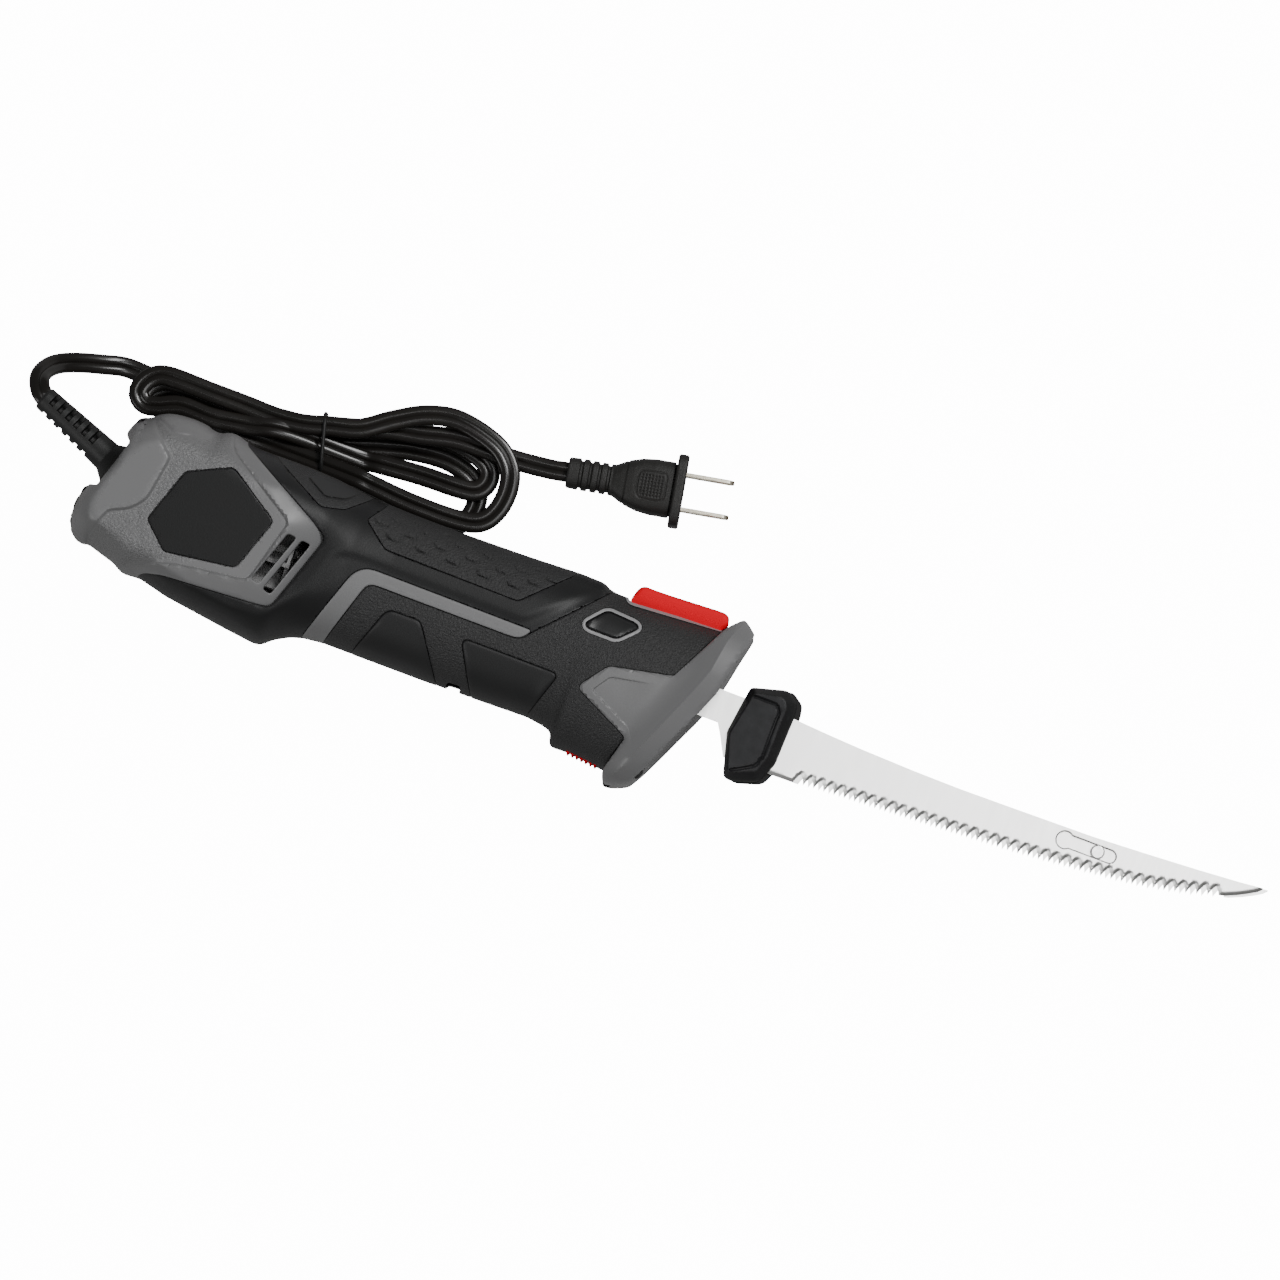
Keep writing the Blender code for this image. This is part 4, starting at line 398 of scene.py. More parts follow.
def moulded(name, colour, rough, level, grain, mask, drift, lift):
    """Moulded plastic or rubber: a toned colour, uneven gloss and a normal with a grain (size, depth), all over
    or where the mask mark says. Where the piece's rim mark says, painted highlights lighten the colour by lift
    (painted shade darkens it when lift is below zero)."""
    material, tree, shader = node_material(name)
    rim = chain(tree, "ShaderNodeAttribute", {}, attribute_name="rim").outputs["Fac"]
    tone = chain(tree, "ShaderNodeGroup", {"Color": (*colour, 1.0), "Drift": drift, "Lift": lift, "Painted_Light_Mask": rim},
                 node_tree=tone_group)
    pebbled = chain(tree, "ShaderNodeGroup", {"Size": grain[0], "Depth": grain[1]}, node_tree=grain_group)
    if mask:
        area = chain(tree, "ShaderNodeAttribute", {}, attribute_name=mask)
        feed(pebbled, {"Mask": area.outputs["Fac"]})
    feed(shader, {"Base Color": tone.outputs["Color"], "Normal": pebbled.outputs["Normal"],
                  "Roughness": span(tree, speckle(tree, 55.0), rough - 0.04, rough + 0.05, 0.3, 0.7),
                  "Specular IOR Level": level})
    return material


BELLY = [(-236.6, -4.9), (-238.4, -6.4), (-239.9, -13), (-239.7, -18.6), (-237.8, -23.6), (-235, -26),
    (-232.4, -26.6), (-229.8, -26), (-220, -28.6), (-215.8, -31), (-209.2, -30.5), (-198, -33.2), (-175, -36.4),
    (-162.5, -38), (-159.8, -37.7), (-155.8, -34.2), (-150.5, -31.3), (-146, -30), (-139, -29.2), (-100, -29.1),
    (-61, -28.2), (-53.5, -29.2), (-50.4, -30.4), (-49.7, -34), (-48.3, -35.3), (-43, -35), (-28.3, -36.5),
    (-10, -36.8)]
BACK = [(-2, 26.2), (-38, 25), (-45, 24.9), (-48.4, 25.4), (-51, 26.9), (-60, 27.1), (-80, 26.2), (-106, 25.6),
    (-125, 25.7), (-140, 26.1), (-154, 27.9), (-165, 28.4), (-185.5, 28.2), (-189.6, 28.9), (-193.6, 30.2),
    (-196.8, 30), (-199.8, 28.4), (-203.3, 28.8), (-205, 29.6), (-210, 30), (-215.8, 29.6), (-219.5, 28.8),
    (-222.6, 27.2), (-225.2, 25), (-228.2, 23.7), (-229.6, 21.6), (-231, 18.2), (-230.2, 15.6), (-227.8, 14.2),
    (-233.3, -4), (-234, -4.7)]
HALF_AT = [(-241, 31.5), (-237, 34), (-230, 36.5), (-190, 36.5), (-172, 34.5), (-161, 31), (-152, 27.6),
    (-140, 25.2), (-125, 24.2), (-60, 23.4), (-52, 23.8), (-45, 24.6), (-30, 25.4), (0, 26.6)]
SKIN_FLAT = 29.8
SKIN_POWER = 2.35


def rounded_corners(outline, times, reach, closed=True):
    """The outline with each corner cut back by up to a reach, and then by less in each further pass."""
    line = np.asarray(outline, float)
    for _ in range(times):
        after = np.roll(line, -1, axis=0)
        step = after - line
        span = np.linalg.norm(step, axis=1, keepdims=True)
        share = np.minimum(0.25, reach / np.maximum(span, 1e-6))
        pair = np.stack([line + share * step, after - share * step], 1).reshape(-1, 2)
        line = pair if closed else np.vstack([line[:1], pair[:-2], line[-1:]])
        reach *= 0.45
    return line


def evenly(outline, spacing):
    """The outline with extra points so that none are further apart than the spacing."""
    line = np.asarray(outline, float)
    after = np.roll(line, -1, axis=0)
    count = np.maximum(1, np.ceil(np.linalg.norm(after - line, axis=1) / spacing).astype(int))
    which = np.repeat(np.arange(len(line)), count)
    share = (np.arange(len(which)) - np.repeat(np.cumsum(count) - count, count)) / count[which]
    return line[which] + (after - line)[which] * share[:, None]


def from_line(points, line, closed=False):
    """Distance of each point from a line of straight pieces."""
    line = np.asarray(line, float)
    if closed:
        line = np.vstack([line, line[:1]])
    start, step = line[:-1], np.diff(line, axis=0)
    off = points[:, None, :] - start[None]
    share = np.clip((off * step[None]).sum(-1) / np.maximum((step ** 2).sum(-1), 1e-12), 0.0, 1.0)
    return np.sqrt(((off - share[..., None] * step[None]) ** 2).sum(-1).min(1))


def within(points, outline):
    """Whether each point lies inside the closed outline, by counting crossings to its right."""
    a = np.asarray(outline, float)
    b = np.roll(a, -1, axis=0)
    x, y = points[:, :1], points[:, 1:2]
    spans = (a[None, :, 1] > y) != (b[None, :, 1] > y)
    slope = (b[:, 0] - a[:, 0]) / np.where(b[:, 1] == a[:, 1], 1e-12, b[:, 1] - a[:, 1])
    return ((spans & (x < a[None, :, 0] + (y - a[None, :, 1]) * slope[None])).sum(1) % 2).astype(bool)


def depth_in(points, outline):
    """Signed distance from the outline: above zero inside it."""
    return np.where(within(points, outline), 1.0, -1.0) * from_line(points, outline, True)


def offset(outline, distance):
    """The outline's points moved outwards (below zero: inwards) along the mean of their two normals."""
    line = np.asarray(outline, float)
    ahead, behind = np.roll(line, -1, axis=0) - line, line - np.roll(line, 1, axis=0)
    area = 0.5 * (line[:, 0] * np.roll(line[:, 1], -1) - np.roll(line[:, 0], -1) * line[:, 1]).sum()
    way = ahead / np.maximum(np.linalg.norm(ahead, axis=1, keepdims=True), 1e-9) + \
        behind / np.maximum(np.linalg.norm(behind, axis=1, keepdims=True), 1e-9)
    way /= np.maximum(np.linalg.norm(way, axis=1, keepdims=True), 1e-9)
    return line + math.copysign(distance, area * distance) * np.stack([way[:, 1], -way[:, 0]], 1)


def soft_min(a, b, blend):
    """The lesser of two heights, with the crease between them rounded over a blend."""
    share = np.clip(0.5 + 0.5 * (b - a) / blend, 0.0, 1.0)
    return b + (a - b) * share - blend * share * (1.0 - share)


def ease(value, low, high):
    """0 below low and 1 above high, turning smoothly between."""
    share = np.clip((value - low) / (high - low), 0.0, 1.0)
    return share * share * (3.0 - 2.0 * share)


SIDE = rounded_corners(BELLY + BACK, 2, 0.9)
BELLY_EDGE = rounded_corners(BELLY, 2, 0.9, closed=False)
BACK_EDGE = rounded_corners(BACK, 2, 0.9, closed=False)
REAR_EDGE = [(-229.6, -25.8), (-232.4, -26.6), (-235, -26), (-237.8, -23.6), (-239.8, -17), (-239.2, -10),
    (-236.5, -3), (-233, 6), (-231.8, 16), (-230, 21), (-225.2, 25)]


TOP_HELD = (-226.0, 26.5)
LOW_HELD = (-231.0, -26.6)
REAR_FROM = -215.0
REAR_ROUND = 12.0
REAR_POWER = 2.2


def skin(points):
    """Half thickness of the handle: half * (1 - r^p)^(1/p), where r runs from 0 at mid height to 1 at the side
    outline, with the like rounding over REAR_ROUND from the rear edge, cut flat where the handle is thickest.
    Behind TOP_HELD and LOW_HELD the outline's top and bottom are held level."""
    u, v = points[:, 0], points[:, 1]
    order = np.argsort(BACK_EDGE[:, 0])
    top = np.where(u < TOP_HELD[0], TOP_HELD[1], np.interp(u, BACK_EDGE[order, 0], BACK_EDGE[order, 1]))
    low = np.where(u < LOW_HELD[0], LOW_HELD[1], np.interp(u, BELLY_EDGE[:, 0], BELLY_EDGE[:, 1]))
    half = np.interp(u, *np.transpose(HALF_AT))
    reach = np.clip(np.abs(v - (top + low) / 2) / ((top - low) / 2), 0.0, 1.0)
    height = half * (1.0 - reach ** SKIN_POWER) ** (1 / SKIN_POWER)
    rear = np.clip(1.0 - from_line(points, REAR_EDGE) / REAR_ROUND, 0.0, 1.0)
    rear = np.where(u < REAR_FROM, np.where(within(points, SIDE), rear, 1.0), 0.0)
    height = height * (1.0 - rear ** REAR_POWER) ** (1 / REAR_POWER)
    return soft_min(height, np.full(len(u), SKIN_FLAT), 2.4)


SIDES = ((1, "near"), (-1, "far"))
EDGE_RINGS = (0.07, 0.3, 0.75, 1.5, 2.6, 4.2)
LINE_RINGS = (-0.5, -0.25, -0.08, 0.08, 0.25, 0.5)
THINNEST = 0.03


def sheet_mesh(name, keep, height, under, material, cuts=(), lines=(), rims=(), spacing=1.3, halves=(1, -1),
               lean=True, smooth=32.0, marks=None):
    """A closed piece over a side outline: a top sheet at height(points), an under sheet at under(points) and
    walls between them, on the near side (1) or the far side (-1) of the parting plane, or both.

    keep are outlines that it lies inside, cuts are outlines left out, lines are extra creases, rims get finer
    points. A plan point stands where the photograph's sight line through it meets the sheet: each place is moved
    by its height times VIEW_LEAN, unless lean is off."""
    loops = [evenly(loop, spacing * 0.8) for loop in (*keep, *cuts)]
    extra = [np.asarray(line, float) for line in lines]
    low = np.max([loop.min(0) for loop in loops[:len(keep)]], 0)
    high = np.min([loop.max(0) for loop in loops[:len(keep)]], 0)
    rows = np.arange(low[1], high[1], spacing * 0.87)
    grid = np.stack(np.meshgrid(np.arange(low[0], high[0], spacing), rows), -1)
    grid[1::2, :, 0] += spacing / 2
    free = [grid.reshape(-1, 2)]
    for distance in EDGE_RINGS:
        ring = offset(evenly(SIDE, spacing * 0.8), -distance)
        free.append(ring[np.abs(from_line(ring, SIDE, True) - distance) < 0.03 + 0.05 * distance])
    for loop in (*keep[1:], *cuts, *rims):
        for distance in LINE_RINGS:
            ring = offset(evenly(loop, spacing * 0.8), distance)
            free.append(ring[np.abs(from_line(ring, loop, True) - abs(distance)) < 0.03])
    free = np.vstack(free)
    near_line = np.ones(len(free), bool)
    for loop in loops:
        near_line &= from_line(free, loop, True) > 0.05
    for line in extra:
        near_line &= from_line(free, line) > 0.3
    free = free[near_line]
    for outline in keep:
        free = free[within(free, outline)]
    for outline in cuts:
        free = free[~within(free, outline)]
    plan, edges, count = [], [], 0
    for loop in loops:
        plan.append(loop)
        edges += [(count + k, count + (k + 1) % len(loop)) for k in range(len(loop))]
        count += len(loop)
    for line in extra:
        plan.append(line)
        edges += [(count + k, count + k + 1) for k in range(len(line) - 1)]
        count += len(line)
    plan.append(free)
    plan = np.vstack(plan)
    placed, _, faces, *_ = delaunay_2d_cdt([Vector(p) for p in plan], edges, [], 0, 1e-4)
    placed = np.array([tuple(p) for p in placed])
    faces = np.array(faces)
    middle = placed[faces].mean(1)
    good = np.ones(len(faces), bool)
    for outline in keep:
        good &= within(middle, outline)
    for outline in cuts:
        good &= ~within(middle, outline)
    faces = faces[good]
    used, faces = np.unique(faces, return_inverse=True)
    faces = faces.reshape(-1, 3)
    placed = placed[used]
    corner = placed[faces]
    turned = np.cross(corner[:, 1] - corner[:, 0], corner[:, 2] - corner[:, 0]) < 0
    faces[turned] = faces[turned][:, ::-1]
    top = np.maximum(height(placed), PARTING + THINNEST)
    bottom = np.clip(under(placed, top), PARTING, top - THINNEST)
    pairs = np.vstack([faces[:, [0, 1]], faces[:, [1, 2]], faces[:, [2, 0]]])
    key = np.sort(pairs, 1)
    _, first, times = np.unique(key, axis=0, return_index=True, return_counts=True)
    rim = pairs[first[times == 1]]
    count = len(placed)
    all_verts, all_faces, base = [], [], 0
    for side in halves:
        for level in (top, bottom):
            shift = level[:, None] * np.array(VIEW_LEAN) if lean else 0.0
            all_verts.append(np.column_stack([placed + shift, side * level]))
        walls = [np.stack([rim[:, 1], rim[:, 0], rim[:, 0] + count], 1),
                 np.stack([rim[:, 1], rim[:, 0] + count, rim[:, 1] + count], 1)]
        block = np.vstack([faces, faces[:, ::-1] + count, *walls])
        all_faces.append((block if side > 0 else block[:, ::-1]) + base)
        base += 2 * count
    piece = add_mesh(name, world(np.vstack(all_verts)), np.vstack(all_faces).tolist(), material, smooth)
    for word, mark in (marks or {}).items():
        value = np.concatenate([np.clip(mark(placed), 0.0, 1.0), np.zeros(count)] * len(halves))
        piece.data.attributes.new(word, "FLOAT", "POINT").data.foreach_set("value", value.astype(np.float32))
    return piece


def rim_round(depth, width, drop):
    """How far the surface drops towards a rim: a quarter circle over the width."""
    share = np.clip(1.0 - depth / width, 0.0, 1.0)
    return drop * (1.0 - np.sqrt(np.clip(1.0 - share ** 2, 0.0, 1.0)))


def near_mark(line, width):
    """A mark that is 1 on a line and fades over the width to either side of it."""
    return lambda points: np.exp(-np.abs(depth_in(points, line)) / width)


def wall(thick):
    """An under sheet that follows the top one at the thickness of a wall."""
    return lambda points, top: top - thick


def level_under(height):
    """An under sheet at one height."""
    return lambda points, top: np.full(len(points), height)


# Rear housing.
# Two halves of grey moulded plastic over the motor: a smooth cap round the
# cord's exit, a grained field, a flat for the label plate, a bevelled band with
# the vents, and a low bulge on the back. They meet at the parting plane.
GREY_LINE = [(-250, -45), (-211, -45), (-209.4, -30.4), (-206.8, -28.2), (-199.6, -26.5), (-162.8, -24.2),
    (-161, -23.8), (-159.4, -22.2), (-150.4, 4.9), (-150.5, 6.4), (-151.6, 7.8), (-189.2, 28.1), (-194, 45),
    (-250, 45)]
PLATEAU_LINE = [(-217.5, -34), (-215.7, -30.7), (-210.6, -26.4), (-204.9, -23.1), (-198, -21), (-191.1, -19.8),
    (-173.2, -17.5), (-171.6, -16.9), (-170.6, -15.6), (-165.1, 5.2), (-165.1, 6.6), (-166.2, 8), (-187.9, 21.4),
    (-191, 23.4), (-192.6, 25.2), (-194, 28), (-195.4, 32), (-195.4, 45), (-260, 45), (-260, -34)]
CAP_LINE = [(-225.6, 26.2), (-218.9, 19.9), (-212.9, 14.6), (-212.2, 13.2), (-214.3, -0.6), (-215.2, -3.6),
    (-218.5, -7.4), (-220.4, -8.8), (-225.1, -10.9), (-226.4, -12), (-230.7, -22.6), (-231.6, -25.6), (-232, -33),
    (-260, -33), (-260, 30), (-232, 30)]
LABEL_LINE = [(-211.9, -9.4), (-202.4, -18.2), (-177.6, -14.8), (-176.1, -13.9), (-169.9, 4.7), (-170.4, 6),
    (-188.6, 17.9), (-190.2, 18.2), (-205.2, 11)]
BULGE_LINE = [(-222.5, 25.5), (-219.5, 24.9), (-216, 23.4), (-213, 22.6), (-209.5, 23.4), (-206, 24.6),
    (-202.6, 25.2), (-201, 27), (-201, 34), (-222.5, 34)]
VENT_LINES = [
    [(-162.6, 3.3), (-160.2, 3.1), (-159.9, 2.4), (-166.4, -16.6), (-167.1, -17.1), (-169.2, -16.5),
     (-169.5, -15.8), (-163.3, 2.8)],
    [(-157.2, 2.7), (-154.8, 2.5), (-154.4, 1.8), (-161.2, -18.6), (-161.9, -19.2), (-164.2, -18.6),
     (-164.5, -17.9), (-157.9, 2.2)]]
grey_line = rounded_corners(GREY_LINE, 2, 1.0)
plateau_line = rounded_corners(PLATEAU_LINE, 2, 1.2)
cap_line = rounded_corners(CAP_LINE, 2, 1.0)
label_line = rounded_corners(LABEL_LINE, 2, 0.7)
bulge_line = rounded_corners(BULGE_LINE, 2, 1.2)
vent_lines = [rounded_corners(line, 1, 0.6) for line in VENT_LINES]
label_seat, label_floor = offset(label_line, 0.36), offset(label_line, 0.16)


def bevel_from(points, flat):
    """How far each point lies past the plateau line, and the height of a bevel that falls from the flat there:
    flat - 0.33 * away - 0.012 * away^2."""
    away = -np.minimum(depth_in(points, plateau_line), 0.0)
    return away, flat - 0.33 * away - 0.012 * away ** 2


def rear_form(points):
    """Grey housing: the skin, lowered past the plateau line as a bevel, with a cap and a bulge standing proud."""
    base = skin(points)
    away, bevel = bevel_from(points, SKIN_FLAT)
    step = ease(depth_in(points, cap_line), -0.75, 0.75)
    bulge = ease(depth_in(points, bulge_line), -0.1, 1.2)
    sunk = 1.3 * (1.0 - step) * ease(base, 4.0, 12.0) * ease(-away, -1.0, 0.0) * (1.0 - 0.85 * bulge)
    return soft_min(base, bevel, 0.5) - sunk


def rear_top(points):
    """The housing with the label's seat sunk in it and rounded rims at its edge and vents."""
    form = rear_form(points)
    seat = depth_in(points, label_seat)
    form = form - 1.7 * ease(seat, 0.0, 0.17) - rim_round(np.abs(seat), 0.3, 0.25) * (seat < 0)
    form -= rim_round(depth_in(points, grey_line), 0.7, 0.6)
    for line in vent_lines:
        form -= rim_round(-depth_in(points, line), 0.5, 0.4)
    return form


def field_mask(points):
    """1 on the grained field, between the cap and the bevel and clear of the bulge and the label."""
    edge = np.minimum(-depth_in(points, cap_line), depth_in(points, plateau_line))
    edge = np.minimum(edge, -depth_in(points, bulge_line))
    return ease(edge, 0.3, 1.4) * ease(-184.0 - points[:, 0] + 0.4 * points[:, 1], -3.0, 8.0)


grey = moulded("grey_moulding", (0.128, 0.128, 0.13), 0.42, 0.45, (0.0009, 2.0), "grain", 0.10, 0.3)
label_black = moulded("label_plate_black", (0.0095, 0.0095, 0.0098), 0.45, 0.2, (0.0005, 0.12), None, 0.2, 0.4)
# The rim marks paint highlights on the housing along its edge at the black body and round the label's seat, and on
# the label plate along its rim.
for side, word in SIDES:
    shell = sheet_mesh("rear_housing_" + word, (SIDE, grey_line), rear_top, wall(3.2), grey, cuts=vent_lines,
                       rims=(cap_line, plateau_line, label_seat, label_floor, bulge_line), halves=(side,),
                       marks={"rim": lambda p: near_mark(grey_line, 0.5)(p) + near_mark(label_seat, 0.3)(p),
                              "grain": field_mask})
    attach(shell, "handle")
    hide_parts("rear_shell_" + word)
    plate = sheet_mesh("label_plate_skin_" + word, (SIDE, label_line),
                       lambda p: rear_form(p) - 0.15 - rim_round(depth_in(p, label_line), 0.3, 0.25), wall(1.2),
                       label_black, halves=(side,), spacing=2.5, marks={"rim": near_mark(label_line, 0.4)})
    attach(plate, "handle")
    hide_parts("label_plate_" + word)

# Black body.
# The long black shell of the grip, in smooth hard plastic. Seats are sunk in it
# for the top insert, the grip pad, the stripe and the soft grip, and it stands
# up in a low shoulder round the grip pad.
INSERT_LINE = [(-180, 33), (-177.4, 27.7), (-156.4, 16.8), (-155, 16.7), (-148.2, 18.3), (-147, 18.9),
    (-139.9, 25.4), (-138, 33)]
PAD_LINE = [(-133.9, 33), (-133.7, 25), (-138.3, 18.5), (-138.2, 17.6), (-129.2, 10.7), (-128, 10.3), (-78.6, 9.8),
    (-77.2, 10.4), (-61.4, 26.4), (-60, 33)]
STRIPE_LINE = [(-152.6, -45), (-146.1, -30), (-137.3, -3.8), (-136, -1.4), (-134.2, 0.4), (-132, 1.5),
    (-129.4, 1.9), (-69.2, 1.6), (-71.2, -1.2), (-72.8, -2.4), (-75.2, -2.9), (-126.5, -3), (-128.4, -3.2),
    (-129.8, -3.9), (-130.9, -5.2), (-138.3, -28.8), (-143.6, -45)]
SOFT_LINE = [(-143.2, -45), (-138, -28.8), (-130.6, -5.3), (-129.5, -4.2), (-128.2, -3.5), (-126.4, -3.3),
    (-75.1, -3.2), (-72.6, -2.7), (-70.9, -1.4), (-68.8, 1.2), (-46.8, 25), (-44, 34), (6, 34), (6, -45)]
GUARD_LINE = [(-3.3, 28.6), (-0.2, 31.6), (0.6, 32), (1.8, 31.7), (5.6, 28.6), (5.9, 27.9), (5.5, 26.4),
    (3.8, 19.9), (0.4, 3.9), (-3.6, -5.9), (-7.6, -14.7), (-14.5, -30.6), (-17.2, -36.2), (-17.7, -37),
    (-19, -38.1), (-24, -40.8), (-25.8, -41), (-26.8, -40.2), (-27.5, -38.6), (-28.2, -36.4), (-24.6, -22.4),
    (-45.4, -12.4), (-46.2, -11.6), (-46.2, -10.2), (-45.6, -9.2), (-39.6, -1.2), (-38.5, -0.5), (-16.6, 4.2),
    (-15.8, 4.9), (-5.2, 26)]
SHOULDER_LINE = [(-160, -24.5), (-153.7, -22.3), (-145.3, 2.1), (-143, 4), (-138.3, 4.9), (-131.4, 5.1),
    (-75.4, 4.4), (-72.8, 5.4), (-70.4, 7.4), (-48, 27), (-48, 45), (-230, 45), (-230, -24.5)]
LOCK_HOLE = [(-46.6, 18.1), (-35.2, 17.4), (-33.5, 15.8), (-39.9, 9.2), (-51.3, 9.2), (-52.8, 11)]
SWITCH_HOLE = [(-41.4, 45), (-41.4, 24.8), (-39.8, 23.8), (-38.4, 23.8), (-4, 26.3), (-2, 26.3), (-2, 45)]
NOTCH_LINE = [(-91.4, -33), (-91.4, -27.2), (-90.8, -26.5), (-86.9, -26.3), (-86.2, -26.9), (-86.2, -33)]
NOSE_LINE = [(-24, -45), (-17.8, -30.6), (-10.9, -14.7), (-6.9, -5.9), (-4.3, 0.8), (-4.3, 45)]
insert_line, pad_line, stripe_line = (rounded_corners(line, 2, 1.0) for line in (INSERT_LINE, PAD_LINE, STRIPE_LINE))
soft_line, guard_line, shoulder_line = (
    rounded_corners(line, 2, 0.8) for line in (SOFT_LINE, GUARD_LINE, SHOULDER_LINE))
lock_hole = rounded_corners(LOCK_HOLE, 2, 1.0)
switch_hole = rounded_corners(SWITCH_HOLE, 2, 0.8)
notch_line = rounded_corners(NOTCH_LINE, 1, 0.6)
seam = [tuple(p) for p in offset(grey_line, 0.06)[::-1] if -209.6 < p[0] and abs(p[1]) < 40.0]
body_line = [(-161.0, 45.0), (-193.4, 45.0)] + seam + [(-211.0, -45.0)] + NOSE_LINE
seats = [offset(line, 0.2) for line in (insert_line, pad_line, stripe_line, soft_line, guard_line)]


def body_form(points):
    """Black body before its seats are cut: the skin, lowered past the grey bevel but not below 25.6 mm, with a
    shoulder 0.9 mm proud."""
    bevel = bevel_from(points, SKIN_FLAT - 0.5)[1]
    level = -soft_min(-bevel, np.full(len(points), -25.6), 3.0)
    form = soft_min(skin(points), level, 1.2)
    shoulder = ease(depth_in(points, shoulder_line), -2.2, 1.2) * ease(points[:, 0], -156.0, -138.0)
    return form + (0.9 * shoulder - 0.35) * ease(skin(points), 0.0, 6.0)


def seat_depth(points):
    """How far inside the deepest seat each point lies; above zero in a seat."""
    return np.max([depth_in(points, line) for line in seats], 0)


def body_top(points):
    """The black body with its seats sunk 1.8 mm and its free rims rounded."""
    form = body_form(points)
    seat = seat_depth(points)
    form -= 1.8 * ease(seat, -0.05, 0.05) + rim_round(-seat, 0.35, 0.3) * (seat < 0)
    return form - rim_round(-depth_in(points, grey_line) - 0.2, 0.5, 0.45)


black = moulded("black_moulding", (0.0105, 0.0105, 0.011), 0.46, 0.22, (0.0004, 0.15), None, 0.2, 1.6)
# The rim mark paints highlights along the rims of the seats and along the edge at the grey housing.
for side, word in SIDES:
    shell = sheet_mesh("black_body_" + word, (SIDE, body_line), body_top,
                       lambda p, top: np.minimum(top - 1.2, body_form(p) - 4.5), black,
                       cuts=(lock_hole, switch_hole, notch_line), rims=seats, halves=(side,), spacing=1.4,
                       marks={"rim": lambda p: np.exp(-np.abs(seat_depth(p)) / 0.3) + near_mark(grey_line, 0.4)(p)})
    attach(shell, "handle")
    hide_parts("grip_shell_" + word)

# Top insert.
# A grained black rubber patch on the back behind the grip, with a smooth raised
# shape in its middle; it wraps over from one side to the other.
INSERT_RAISED = [(-164.4, 24.9), (-155.8, 20.3), (-148.4, 21.9), (-144.6, 25.4), (-148, 27.2), (-160, 27)]
raised_line = rounded_corners(INSERT_RAISED, 2, 0.8)
rubber = moulded("grained_rubber", (0.021, 0.021, 0.0215), 0.6, 0.35, (0.0008, 1.8), "grain", 0.2, 1.2)


def insert_top(points):
    """The patch a little under the body, its middle shape raised inside a fine groove."""
    inside = depth_in(points, raised_line)
    form = body_form(points) - 0.1 - rim_round(depth_in(points, insert_line), 0.5, 0.45)
    return form + 0.55 * ease(inside, 0.0, 0.5) - 0.5 * np.exp(-(inside / 0.28) ** 2)


# The rim mark paints a highlight along the patch's rim.
patch = sheet_mesh("back_insert", (SIDE, insert_line), insert_top, wall(1.3), rubber, rims=(raised_line,),
                   spacing=1.1, marks={"rim": near_mark(insert_line, 0.3),
                                       "grain": lambda p: ease(-depth_in(p, raised_line), 0.0, 0.8)})
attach(patch, "handle")
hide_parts("top_insert")

# Grip pad.
# Leather-grained black rubber over the back of the grip, with rows of small
# hooked scallops, each dug in at its rear and running out forwards.
SCALLOPS = [(-127.9, 14.2), (-133.6, 18.2), (-122.3, 17.3), (-127.6, 20.8), (-116.4, 13.8), (-115.9, 20.2),
    (-110.5, 17.3), (-121.4, 22.8), (-110.2, 22.8), (-115.3, 24.2), (-104.6, 13.8), (-104.4, 20.2), (-98.8, 17.3),
    (-104.6, 24.1), (-98.4, 22.6), (-92.9, 13.4), (-92.6, 20.2), (-86.9, 17), (-92.4, 24.3), (-86.9, 22.8),
    (-81.3, 13.8), (-80.8, 20.1), (-75, 17.2), (-81, 24.4), (-75.1, 22.7), (-69.4, 24.6), (-69.2, 20.4)]


def scallop_line(along):
    """The bent lower line of a scallop: a short slope down at its rear, then nearly level."""
    return np.interp(along, [-3.0, -1.8, 3.0], [1.4, -0.25, -0.5])


def scallop_squeeze(y):
    """How much a scallop is squeezed in height near the back, where the pad turns away."""
    return 1.0 + 1.2 * max(0.0, (y - 19.0) / 6.0)


def scallops(points):
    """0 to 1: each scallop drops at its bent line over 0.25 mm and comes up again above it over a millimetre."""
    share = np.zeros(len(points))
    for x, y in SCALLOPS:
        along = points[:, 0] - x
        bend = (points[:, 1] - y) * scallop_squeeze(y) - scallop_line(along)
        fade = np.exp(-np.maximum(bend - 0.25, 0.0) / 0.7) * ease(3.0 - np.abs(along), 0.0, 0.5)
        share = np.maximum(share, ease(bend, 0.0, 0.25) * fade)
    return share


def pad_top(points):
    """The pad a little over the body, its rim rounded and its scallops 1.1 mm deep."""
    return body_form(points) + 0.15 - rim_round(depth_in(points, pad_line), 0.6, 0.5) - 1.1 * scallops(points)


steps = np.array([-2.9, -1.8, 0.2, 2.9])
scallop_rims = [np.stack([x + steps, y + (scallop_line(steps) + drop) / scallop_squeeze(y)], 1)
                for x, y in SCALLOPS for drop in (0.0, 0.25)]
# The rim mark paints a highlight along the pad's rim and painted shade in the scallops.
pad = sheet_mesh("grip_pad_skin", (SIDE, pad_line), pad_top, wall(1.3), rubber, spacing=0.75, lines=scallop_rims,
                 marks={"rim": lambda p: near_mark(pad_line, 0.35)(p) - 1.7 * scallops(p),
                        "grain": lambda p: np.ones(len(p))})
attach(pad, "handle")
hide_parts("grip_pad")

# Grey stripe.
# A strip of mid grey plastic that frames the soft grip and runs up from the
# belly and forward along both sides to a tapered end.
stripe_grey = moulded("stripe_grey", (0.14, 0.14, 0.142), 0.45, 0.35, (0.0004, 0.1), None, 0.1, 0.3)


def rimmed(line, lift, width, drop):
    """The body's form raised by a lift, with its rim at the line rounded over."""
    return lambda points: body_form(points) + lift - rim_round(depth_in(points, line), width, drop)


# The rim mark paints a highlight along the stripe's rim.
stripe = sheet_mesh("grey_stripe", (SIDE, stripe_line), rimmed(stripe_line, 0.12, 0.45, 0.4), wall(1.3), stripe_grey,
                    marks={"rim": near_mark(stripe_line, 0.4)})
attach(stripe, "handle")
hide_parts("accent_stripe")

